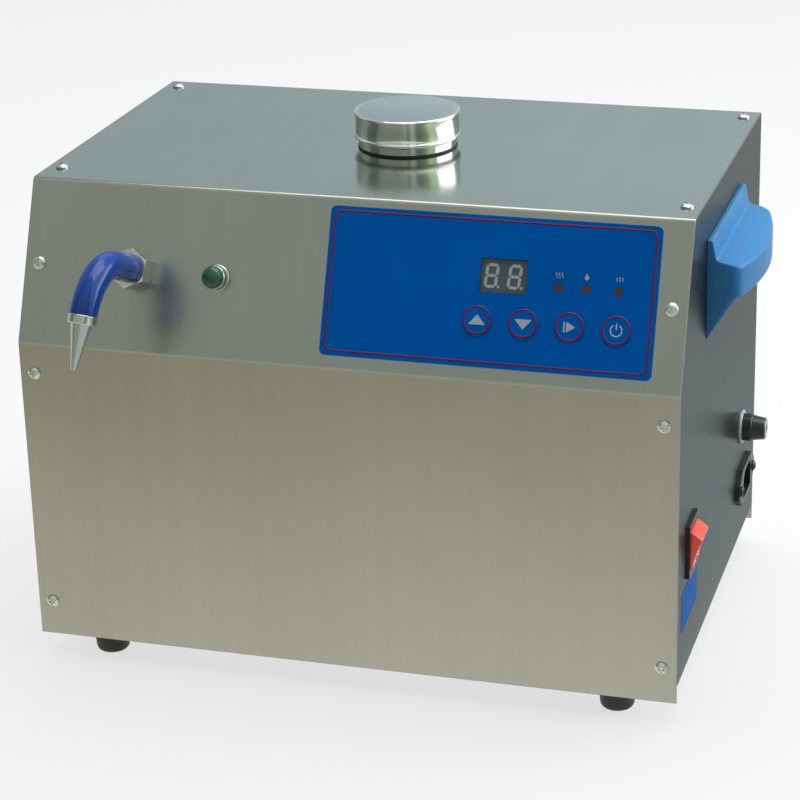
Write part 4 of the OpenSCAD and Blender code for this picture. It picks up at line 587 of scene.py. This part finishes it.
FINISHES = {
    # Cover steel: its fold share paints a pale highlight line along the slope-to-front fold.
    "cover_steel": rolled_sheet("cover_steel", (1, 0.012, 0.012), STEEL_PALE, STEEL_DARK,
                                rgb(0.75, 0.78, 0.78), painted_fold_highlight=0.5),
    # Side panels: the darker steel paints their shade into the colour.
    "shaded_side_steel": rolled_sheet("shaded_side_steel", (0.012, 1, 0.012), SHADED_SIDE_PALE, SHADED_SIDE_DARK,
                               rgb(0.42, 0.45, 0.46)),
    "steel": turned_metal("satin_steel", rgb(0.52, 0.52, 0.5), rgb(0.42, 0.42, 0.4), 0.26, 0.4),
    "chrome": turned_metal("polished_plate", rgb(0.72, 0.74, 0.71), rgb(0.64, 0.66, 0.64), 0.05, 0.16,
                           0.2, 0.0008),
    "cap_plate": spun_plate("spun_plate", rgb(0.78, 0.8, 0.77), rgb(0.34, 0.365, 0.365)),
    "bezel": turned_metal("satin_bezel", rgb(0.36, 0.38, 0.36), rgb(0.3, 0.32, 0.3), 0.24, 0.34,
                          0.2, 0.0008),
    "tip": turned_metal("polished_tip", rgb(0.5, 0.53, 0.49), rgb(0.44, 0.47, 0.44), 0.05, 0.14,
                        0.2, 0.0008),
    "brass": turned_metal("machined_brass", rgb(0.62, 0.46, 0.2), rgb(0.5, 0.36, 0.16), 0.22, 0.38),
    "zinc": turned_metal("plated_steel", rgb(0.62, 0.63, 0.6), rgb(0.5, 0.51, 0.49), 0.16, 0.32, 0.25),
    "rubber": moulded("foot_rubber", rgb(0.02, 0.019, 0.018), rgb(0.06, 0.058, 0.055), 0.6, 0.5, 0.03),
    "silicone": moulded("gasket_silicone", rgb(0.72, 0.7, 0.64), rgb(0.8, 0.78, 0.72), 0.55),
    # Pull: its pale edge colour is a painted highlight along the rounded lip and ledge edges.
    "handle": moulded("pull_plastic", rgb(0.045, 0.27, 0.62), rgb(0.34, 0.62, 0.9), 0.34, 0.5, 0.008, 1.1,
                      Specular_IOR_Level=0.22),
    "overlay": moulded("printed_film", rgb(0.0002, 0.188, 0.75), rgb(0.002, 0.2, 0.76), 0.42, 0.3, 0.006, 0.1,
                       Specular_IOR_Level=0.015),
    "window": clear_part("smoked_window", rgb(0.08, 0.11, 0.12), 0.2, alpha=0.26),
    "display": moulded("display_face", rgb(0.3, 0.42, 0.45), rgb(0.32, 0.44, 0.47), 0.5, 0.4, 0.004, 0.1),
    # Unlit digit bars with a faint emission: a painted glow.
    "digit": moulded("unlit_bar_painted_glow", rgb(0.8, 0.82, 0.8), rgb(0.8, 0.82, 0.8), 0.5, 0.4, 0.004, 0.05,
                     Emission_Color=rgb(0.75, 0.8, 0.8), Emission_Strength=0.3),
    "led": clear_part("dim_red_lens", rgb(0.075, 0.012, 0.04), 0.25, Coat_Weight=0.4),
    "board": moulded("board_laminate", rgb(0.02, 0.14, 0.05), rgb(0.05, 0.2, 0.08), 0.45),
    "lens": clear_part("green_lens", rgb(0.006, 0.13, 0.06), 0.2, Coat_Weight=0.3, Coat_Roughness=0.1),
    "sleeve": moulded("sleeve_rubber", rgb(0.002, 0.062, 0.4), rgb(0.02, 0.14, 0.56), 0.2, 1.2, 0.004,
                      Coat_Weight=0.1, Coat_Roughness=0.12, Specular_IOR_Level=0.35),
    "black": moulded("black_fitting", rgb(0.018, 0.02, 0.022), rgb(0.07, 0.075, 0.08), 0.32, 0.4, 0.008, 0.3),
    "coil": moulded("coil_potting", rgb(0.03, 0.03, 0.035), rgb(0.06, 0.06, 0.065), 0.5),
    "hose": braided_hose("hose_braid"),
    # Rocker red with a faint red emission: a painted glow.
    "rocker": moulded("rocker_red_painted_glow", rgb(0.88, 0.075, 0.045), rgb(0.95, 0.4, 0.34), 0.24, 0.5, 0.004, 0.4,
                      Coat_Weight=0.4, Coat_Roughness=0.1, Emission_Strength=0.3,
                      Emission_Color=rgb(0.75, 0.035, 0.02)),
    "glass": clear_part("fuse_glass", rgb(0.8, 0.82, 0.8), 0.08, alpha=0.35),
    "wire": moulded("wire_sleeve", rgb(0.4, 0.03, 0.02), rgb(0.5, 0.1, 0.08), 0.4),
    "lever": moulded("lever_dip", rgb(0.5, 0.03, 0.02), rgb(0.6, 0.12, 0.1), 0.4),
    "core": turned_metal("varnished_core", rgb(0.2, 0.19, 0.19), rgb(0.14, 0.135, 0.13), 0.35, 0.5),
    "red_ink": moulded("red_ink", rgb(0.24, 0.045, 0.12), rgb(0.3, 0.06, 0.14), 0.45, 0.3, 0.003, 0.02,
                       Specular_IOR_Level=0.1),
    "white_ink": moulded("white_ink", rgb(0.72, 0.76, 0.8), rgb(0.78, 0.8, 0.84), 0.45, 0.3, 0.003, 0.02),
    "label": moulded("blank_label", rgb(0.006, 0.12, 0.46), rgb(0.02, 0.16, 0.5), 0.5, 0.4, 0.004, 0.05,
                     Specular_IOR_Level=0.05),
    "clear_end": clear_part("frosted_end", rgb(0.6, 0.64, 0.65), 0.25, Coat_Weight=0.4),
}


def dress(piece, finish):
    piece.data.materials.clear()
    piece.data.materials.append(FINISHES[finish])


# Nodes whose finish isn't the one that their material slot names
OWN_FINISH = {"cover": "cover_steel", "chassis": "shaded_side_steel", "lamp_bezel": "bezel",
              "inlet_screws": "black", "nozzle_tip": "tip"}


def dress_frame():
    """Gives every carried-over node its finish, and smooth light on its curves."""
    for row in frame["record"]["subparts"]:
        node = NODES[row["node"]]
        dress(node, OWN_FINISH.get(row["node"], row["material_slot"]))
        node.data.shade_smooth()
        sharpen(node, 24)


# Pieces ----------------------------------------------------------------------

def bow(y):
    """How far the pull's lip stands out at y, with its upright corners rounded."""
    depth = HANDLE_MID - HANDLE_END
    radius = ((HANDLE_L / 2) ** 2 + depth ** 2) / (2 * depth)
    full = math.sqrt(radius ** 2 - y ** 2) + HANDLE_MID - radius
    into = abs(y) - (HANDLE_L / 2 - HANDLE_CORNER)
    if into <= 0:
        return full
    return full - HANDLE_CORNER + math.sqrt(max(0, HANDLE_CORNER ** 2 - into ** 2))


def pull_section(y):
    """Section of the pull across the wall at y, as (distance from the wall, height)."""
    out = bow(y)
    fall = LEDGE_FALL / HANDLE_MID
    lip_top = HANDLE_H - fall * out
    lip_low = HANDLE_H - LEDGE_FALL - LIP_H
    top = HANDLE_H + RIM_H
    under = min(HANDLE_END - 0.8, out - 0.8)
    corners = [(0, 0), (under, lip_low), (out, lip_low), (out, lip_top),
               (RIM_FOOT, HANDLE_H - fall * RIM_FOOT), (RIM_TOP, top), (0, top)]
    return eased(corners, [0, 0, 0.7, LIP_R, RIM_HOLLOW, 0.9, 0], 5)


def pull_pocket(name):
    """Solid of the finger pocket under the ledge, open below."""
    work = bmesh.new()
    count = 24
    ends = HANDLE_L / 2 - HANDLE_WALL
    ceiling = HANDLE_H - HANDLE_WALL - LEDGE_FALL
    wall = RIM_FOOT * 0.7
    rows = []
    for k in range(count + 1):
        y = -ends + 2 * ends * k / count
        out = bow(y) - HANDLE_WALL
        corners = [(wall, POCKET_OPEN), (out, POCKET_OPEN), (out, ceiling), (wall, ceiling)]
        section = eased(corners, [0, 0, POCKET_ROUND, POCKET_ROUND], 4)
        rows.append([work.verts.new((x, y, z)) for x, z in section])
    capped(work, rows)
    return closed_mesh(name, work)


def pull_boss(y, z):
    """Screw boss inside the pocket, from the wall plate to its open end."""
    work = bmesh.new()
    rim = circle(BOSS_D / 2, 40, y, z)[:-1]
    rows = [[work.verts.new((x, *point)) for point in rim] for x in (RIM_FOOT * 0.5, BOSS_OUT)]
    capped(work, rows)
    return closed_mesh("boss", work)


def pull(name, side, node):
    """Moulded pull: bowed ledge and lip, hollowed rim, tapered end plates, open pocket."""
    work = bmesh.new()
    half = HANDLE_L / 2
    straight = half - HANDLE_CORNER
    inner = [-straight + 2 * straight * k / 28 for k in range(29)]
    turn = [HANDLE_CORNER * math.sin(math.pi / 2 * k / 8) for k in range(1, 9)]
    stations = [-straight - d for d in reversed(turn)] + inner + [straight + d for d in turn]
    rows = [[work.verts.new((x, y, z)) for x, z in pull_section(y)] for y in stations]
    capped(work, rows)
    body = bpy.data.objects.new(name, closed_mesh(name, work))
    bpy.context.scene.collection.objects.link(body)
    round_edges(body, 0.8, 3, 50)
    helpers = []
    bosses = [("UNION", pull_boss(y, z)) for y, z in BOSS_PLACES]
    for kind, mesh in [("DIFFERENCE", pull_pocket("pocket"))] + bosses:
        helper = bpy.data.objects.new("cutter", mesh)
        bpy.context.scene.collection.objects.link(helper)
        cut = body.modifiers.new("pocket", "BOOLEAN")
        cut.operation = kind
        cut.object = helper
        cut.solver = "EXACT"
        helpers.append(helper)
    settle(body)
    for helper in helpers:
        bpy.data.objects.remove(helper)
    middle = Vector((SIDE_X, FRONT_Y + mm(HANDLE_Y + half), mm(HANDLE_Z)))
    place = Matrix.Translation(middle) @ Matrix.Scale(0.001, 4)
    if side < 0:
        place = Matrix.Scale(-1, 4, (1, 0, 0)) @ place
    body.data.transform(place)
    if side < 0:
        body.data.flip_normals()
    body.data.shade_smooth()
    sharpen(body, 38)
    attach(body, "casing")
    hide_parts(node)
    dress(body, "handle")


def cap():
    """Spun cap: flat satin top inside a rolled rim, a straight wall and a low bead."""
    r = CAP_R
    wall = CAP_WALL
    outline = [(0, CAP_TOP), (r - 2.4, CAP_TOP), (r - 1.4, CAP_TOP - 0.2)]
    outline += arc(r - 0.5, CAP_TOP - 1.1, CAP_ROLL_R, 120, 0, 8)
    outline += [(r + 0.35, CAP_TOP - 2), (r, CAP_TOP - 2.8), (r, CAP_FOOT + 2.6)]
    outline += arc(r - 0.45, CAP_FOOT + CAP_BEAD_R, CAP_BEAD_R, 60, -85, 12)
    outline += [(r - wall - 0.1, CAP_FOOT), (r - wall, CAP_TOP - wall - 1.2),
                (r - wall - 1.2, CAP_TOP - wall), (0, CAP_TOP - wall)]
    piece = turned("spun_cap", outline, on_top(CAP_Y), "cap", 160)
    sharpen(piece, 40)
    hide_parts("cap_shell")
    dress(piece, "cap_plate")


def rocker():
    """Red rocker with a hollowed face, pressed down at its lower end."""
    half, tip = ROCKER_HALF, ROCKER_TIP
    outline = [(half - 3, tip), (half - 2.2, tip - 0.3), (half, 0.6), (half - 0.5, -1)]
    outline += arc(0, 0, ROCKER_BELLY_R, -20, -160, 10)
    outline += [(-half + 0.5, -1), (-half, 0.6), (-half + 2.2, tip - 0.3), (-half + 3, tip)]
    outline += [(y, tip - ROCKER_HOLLOW * math.cos(math.pi / 2 * y / (half - 3)) ** 0.5)
                for y in (-6, -3, 0, 3, 6)]
    lean = Matrix.Rotation(math.radians(ROCKER_SWING / 2), 4, "X")
    place = on_side(SWITCH_Y, SWITCH_Z, -ROCKER_PIVOT) @ lean
    piece = bar("rocker_cap", outline, ROCKER_W, place, "rocker", 0.45)
    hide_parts("rocker")
    dress(piece, "rocker")
    mark = place @ Matrix.Translation((0, 0, mm(tip - 0.4)))
    line = strip("rocker_mark", circle(1.2, 24, 0, -5.4), circle(1.8, 24, 0, -5.4), mark, "rocker",
                 ROCKER_PRINT_T)
    dress(line, "white_ink")
    stroke = decal("rocker_stroke", rectangle(-0.35, 3.4, 0.35, 7, 0.2, 2), mark, "rocker", ROCKER_PRINT_T)
    dress(stroke, "white_ink")


def fuse_trim():
    """Pale washer under the fuse holder, and the clear end of its knob with the slot."""
    base = on_side(FUSE_Y, FUSE_Z)
    hole, r, h = FUSE_RING_HOLE, FUSE_RING_R, FUSE_RING_H
    outline = [(hole, 0), (r, 0), (r, h - 0.4), (r - 0.4, h), (hole, h)]
    ring = turned("fuse_ring", outline, base, "casing", 96, True)
    dress(ring, "clear_end")
    end = strip("fuse_end", circle(FUSE_END_HOLE, 48), circle(FUSE_END_R, 48),
                base @ Matrix.Translation((0, 0, mm(FUSE_END_Z))), "fuse_knob", FUSE_END_T)
    dress(end, "clear_end")


def panel_print():
    """Red pinstripe, key rings and white signs printed on the membrane film."""
    film = on_slope(FILM_X, FILM_V, FILM_T)
    near, far = STRIPE_INSET - STRIPE_W / 2, STRIPE_INSET + STRIPE_W / 2
    outer = rectangle(near, near, FILM_W - near, FILM_H - near, STRIPE_CORNER)
    inner = rectangle(far, far, FILM_W - far, FILM_H - far, STRIPE_CORNER - STRIPE_W)
    stripe = strip("film_stripe", inner + inner[:1], outer + outer[:1], film, "casing")
    dress(stripe, "red_ink")
    signs = {"key_up": up_sign, "key_down": down_sign, "key_start": start_sign, "key_power": power_sign}
    for index, (body, sign) in enumerate(signs.items()):
        top = on_slope(KEY_X + index * KEY_PITCH, KEY_V, KEY_TOP)
        ring = strip(body + "_ring", circle(KEY_RING_IN, 72), circle(KEY_RING_OUT, 72), top, body)
        dress(ring, "red_ink")
        sign(body, top)
    for index, x in enumerate(LED_X):
        led_sign(index, on_slope(x, LED_V + LED_SIGN_UP, FILM_T))


def white(piece):
    dress(piece, "white_ink")


def triangle(name, corners, top, body):
    white(decal(name, eased(corners, [SIGN_ROUND] * 3, 3), top, body))


def up_sign(body, top):
    triangle("sign_up", [(-4.6, -2.2), (4.6, -2.2), (0, 3)], top, body)


def down_sign(body, top):
    triangle("sign_down", [(-4.6, 2.2), (0, -3), (4.6, 2.2)], top, body)


def start_sign(body, top):
    triangle("sign_start", [(-1.6, -2.8), (3.2, 0), (-1.6, 2.8)], top, body)
    white(decal("sign_start_bar", rectangle(-3.1, -2.7, -2.3, 2.7, 0.2, 2), top, body))


def power_sign(body, top):
    inner, outer = [arc(0, 0, radius, 125, 415, 40) for radius in (2.6, 3.3)]
    white(strip("sign_power", inner, outer, top, body, closed=False))
    white(decal("sign_power_bar", rectangle(-0.35, 0.4, 0.35, 3.8, 0.2, 2), top, body))


def led_sign(index, top):
    """Small sign over an indicator light: heat waves, a drop, or a jet."""
    if index == 1:
        drop = [(0, 1.9)] + arc(0, -0.4, 1.1, 30, -210, 16)
        white(decal("sign_drop", drop, top, "casing"))
        return
    for k in (-1, 0, 1):
        lean = 0.35 if index == 0 else 0.0
        rise = 1.4 if index == 0 else 1.2 - 0.3 * abs(k)
        middle = [(k * 1.5 + lean * math.sin(math.pi * t / 4), (t / 4 - 1) * rise) for t in range(9)]
        left = [(x - SIGN_LINE, y) for x, y in middle]
        right = [(x + SIGN_LINE, y) for x, y in middle]
        white(strip("sign_%d_%d" % (index, k + 1), left, right, top, "casing", closed=False))


def label():
    """Bare blue label under the rocker."""
    width, height = LABEL_Y[1] - LABEL_Y[0], LABEL_Z[1] - LABEL_Z[0]
    outline = rectangle(0, 0, width, height, LABEL_CORNER)
    piece = decal("side_label", outline, on_side(LABEL_Y[0], LABEL_Z[0]), "casing", LABEL_T)
    dress(piece, "label")


# Studio ----------------------------------------------------------------------

CAMERA_AT = (0.397465, -1.295771, 0.662553)
CAMERA_YAW, CAMERA_PITCH, CAMERA_ROLL = -0.281059, 0.362907, -0.021116
CAMERA_LENS = 115.5706
CAMERA_SHIFT = (-0.054285, -0.050335)
CAMERA_SENSOR = 36
FLOOR_HALF = 6000


def camera():
    """Camera where the photographer stood."""
    ahead = Vector((math.sin(CAMERA_YAW) * math.cos(CAMERA_PITCH),
                    math.cos(CAMERA_YAW) * math.cos(CAMERA_PITCH), -math.sin(CAMERA_PITCH)))
    level = Vector((math.cos(CAMERA_YAW), -math.sin(CAMERA_YAW), 0))
    upright = level.cross(ahead)
    right = level * math.cos(CAMERA_ROLL) + upright * math.sin(CAMERA_ROLL)
    up = upright * math.cos(CAMERA_ROLL) - level * math.sin(CAMERA_ROLL)
    data = bpy.data.cameras.new("photo_camera")
    data.lens = CAMERA_LENS
    data.sensor_width = CAMERA_SENSOR
    data.shift_x, data.shift_y = CAMERA_SHIFT
    data.clip_start, data.clip_end = 0.05, 50
    lens = bpy.data.objects.new("photo_camera", data)
    bpy.context.scene.collection.objects.link(lens)
    turn = Matrix((right, up, -ahead)).transposed()
    lens.matrix_world = Matrix.Translation(CAMERA_AT) @ turn.to_4x4()
    bpy.context.scene.camera = lens


def softbox(name, at, aim, size, power, tint=(1, 1, 1)):
    data = bpy.data.lights.new(name, "AREA")
    data.shape = "RECTANGLE"
    data.size, data.size_y = size
    data.energy = power
    data.color = tint
    lamp = bpy.data.objects.new(name, data)
    lamp.location = at
    lamp.rotation_euler = (Vector(aim) - Vector(at)).to_track_quat("-Z", "Y").to_euler()
    bpy.context.scene.collection.objects.link(lamp)


def by_ray(tree, seen, mirrored, scattered):
    """One light for the eye, one for mirrors and one for everything else."""
    path = add(tree, "ShaderNodeLightPath").outputs
    straight = maths(tree, "MAXIMUM", path["Is Camera Ray"], path["Is Transmission Ray"])
    glossy = path["Is Glossy Ray"]
    shown = add(tree, "ShaderNodeMixShader", {0: glossy, 1: scattered, 2: mirrored}).outputs[0]
    return add(tree, "ShaderNodeMixShader", {0: straight, 1: shown, 2: seen}).outputs[0]


def floor():
    """Pale bench top: white to the eye, warm close by and cooler far off in reflections."""
    work = bmesh.new()
    bmesh.ops.create_grid(work, x_segments=8, y_segments=8, size=FLOOR_HALF)
    mesh = bpy.data.meshes.new("bench_top")
    work.transform(Matrix.Scale(0.001, 4))
    work.to_mesh(mesh)
    work.free()
    piece = bpy.data.objects.new("bench_top", mesh)
    bpy.context.scene.collection.objects.link(piece)
    material = bpy.data.materials.new("bench_white")
    material.use_nodes = True
    tree = material.node_tree
    tree.nodes.clear()
    place = add(tree, "ShaderNodeNewGeometry").outputs["Position"]
    axes = axes_of(tree, place)
    speckle = add(tree, "ShaderNodeTexNoise", {"Vector": place, "Scale": 6, "Detail": 3}).outputs[0]
    ahead = spread(tree, axes["Y"], -0.62, -0.12)
    left = blend(tree, ahead, rgb(0.5, 0.49, 0.37), rgb(0.93, 0.92, 0.75))
    right = blend(tree, ahead, rgb(0.58, 0.57, 0.47), rgb(1, 1, 0.92))
    warm = blend(tree, spread(tree, axes["X"], -0.33, 0.02), left, right)
    behind = spread(tree, axes["Y"], -0.1, 0.22)
    toned = blend(tree, behind, warm, rgb(0.68, 0.73, 0.72))
    beside = blend(tree, spread(tree, axes["Y"], 0.3, 0.5), rgb(0.65, 0.7, 0.7), rgb(0.57, 0.61, 0.6))
    toned = blend(tree, spread(tree, axes["X"], 0.182, 0.195), toned, beside)
    toned = blend(tree, maths(tree, "MULTIPLY", speckle, 0.12), toned, rgb(0.7, 0.7, 0.66))
    lit = add(tree, "ShaderNodeBsdfDiffuse", {"Color": rgb(0.86, 0.86, 0.86)}).outputs[0]
    bounce = add(tree, "ShaderNodeBsdfDiffuse", {"Color": rgb(0.26, 0.26, 0.25)}).outputs[0]
    seen = add(tree, "ShaderNodeEmission", {"Color": rgb(1, 1, 1), "Strength": 1.0}).outputs[0]
    mirrored = add(tree, "ShaderNodeEmission", {"Color": toned, "Strength": 1.0}).outputs[0]
    eye = add(tree, "ShaderNodeMixShader", {0: 0.68, 1: lit, 2: seen}).outputs[0]
    out = add(tree, "ShaderNodeOutputMaterial")
    connect(tree, by_ray(tree, eye, mirrored, bounce), out.inputs["Surface"])
    mesh.materials.append(material)


def ramp(tree, value, stops):
    made = add(tree, "ShaderNodeValToRGB", {0: value})
    band = made.color_ramp
    while len(band.elements) < len(stops):
        band.elements.new(0.5)
    for element, (place, colour) in zip(band.elements, stops):
        element.position = place
        element.color = colour
    return made.outputs[0]


# Tall panels of the room as a polished cylinder shows them: place round the room,
# from the front through the left, the back and the right, and how bright each one is
ROOM_GAIN = 3.0
ROOM_PANELS = [
    (0.0, (1, 1, 1)), (0.105, (1, 1, 1)), (0.145, (0.9, 0.92, 0.9)), (0.16, (0.5, 0.52, 0.5)),
    (0.175, (0.42, 0.43, 0.42)), (0.222, (0.45, 0.47, 0.46)), (0.245, (0.8, 0.84, 0.84)),
    (0.285, (0.8, 0.84, 0.84)), (0.33, (0.5, 0.52, 0.52)), (0.38, (0.4, 0.42, 0.42)),
    (0.412, (0.6, 0.64, 0.68)), (0.43, (0.82, 0.86, 0.9)), (0.45, (0.88, 0.92, 0.96)),
    (0.465, (0.98, 1.0, 1.06)), (0.484, (1.0, 1.04, 1.12)), (0.5, (0.65, 0.7, 0.7)),
    (0.54, (0.65, 0.72, 0.7)), (0.605, (0.9, 0.95, 0.95)), (0.625, (2, 2, 2)),
    (0.773, (2, 2, 2)), (0.787, (1.9, 2.2, 1.6)), (0.808, (2.1, 2.5, 1.5)), (0.835, (1.1, 1.2, 0.9)),
    (0.86, (0.78, 0.82, 0.75)), (0.893, (0.62, 0.66, 0.6)), (0.906, (1.1, 1.12, 1.05)),
    (0.921, (1.75, 1.75, 1.7)), (0.94, (1.2, 1.2, 1.15)), (0.952, (0.7, 0.72, 0.68)),
    (0.965, (1.25, 1.25, 1.2)), (0.985, (1.15, 1.15, 1.1)), (1.0, (1, 1, 1))]


def surroundings():
    """White to the eye; a soft room in the polish, paler at the back than in front."""
    world = bpy.data.worlds.new("studio")
    bpy.context.scene.world = world
    world.use_nodes = True
    tree = world.node_tree
    tree.nodes.clear()
    way = add(tree, "ShaderNodeTexCoord").outputs["Generated"]
    axes = axes_of(tree, way)
    behind = spread(tree, axes["Y"], -0.55, 0.75)
    front = ramp(tree, spread(tree, axes["Z"], -0.1, 1.0),
                 [(0.0, rgb(0.40, 0.45, 0.39)), (0.45, rgb(0.47, 0.55, 0.5)), (1.0, rgb(0.8, 0.85, 0.85))])
    back = ramp(tree, spread(tree, axes["Z"], -0.1, 1.0),
                [(0.0, rgb(0.78, 0.88, 0.88)), (0.4, rgb(0.8, 0.92, 0.93)), (1.0, rgb(0.85, 0.92, 0.95))])
    room = blend(tree, behind, front, back)
    round_room = maths(tree, "ARCTAN2", axes["X"], axes["Y"])
    panels = ramp(tree, spread(tree, round_room, -math.pi, math.pi),
                  [(place, rgb(*(c / ROOM_GAIN for c in tint))) for place, tint in ROOM_PANELS])
    lifted = add(tree, "ShaderNodeVectorMath", {0: panels, "Scale": ROOM_GAIN}, operation="SCALE").outputs[0]
    banded = add(tree, "ShaderNodeMix", {"Factor": 1.0}, data_type="RGBA", blend_type="MULTIPLY")
    connect(tree, room, banded.inputs["A"])
    connect(tree, lifted, banded.inputs["B"])
    glossy = add(tree, "ShaderNodeBackground", {"Color": banded.outputs["Result"]}).outputs[0]
    sky = ramp(tree, spread(tree, axes["Z"], -0.2, 1.0),
               [(0.0, rgb(0.3, 0.3, 0.3)), (0.35, rgb(0.42, 0.43, 0.44)), (1.0, rgb(0.95, 0.97, 1.0))])
    sky = blend(tree, spread(tree, axes["Y"], -0.05, -0.7, 0.0, 0.9), sky, rgb(0.07, 0.06, 0.09))
    diffuse = add(tree, "ShaderNodeBackground", {"Color": sky, "Strength": 0.95}).outputs[0]
    plain = add(tree, "ShaderNodeBackground", {"Color": rgb(1, 1, 1), "Strength": 1.0}).outputs[0]
    out = add(tree, "ShaderNodeOutputWorld")
    connect(tree, by_ray(tree, plain, glossy, diffuse), out.inputs["Surface"])


def studio():
    camera()
    floor()
    surroundings()
    softbox("window", (1.38, 0.59, 0.66), (0, 0, 0.2), (1.5, 0.85), 12, (0.97, 1.0, 1.0))
    softbox("overhead", (0.1, 0.35, 1.8), (0, 0, 0.1), (1.6, 1.2), 14)
    bpy.context.scene.view_settings.view_transform = "Standard"


# Assembly --------------------------------------------------------------------

dress_frame()
pull("pull_right", 1, "handle_right")
pull("pull_left", -1, "handle_left")
cap()
rocker()
fuse_trim()
panel_print()
label()
studio()
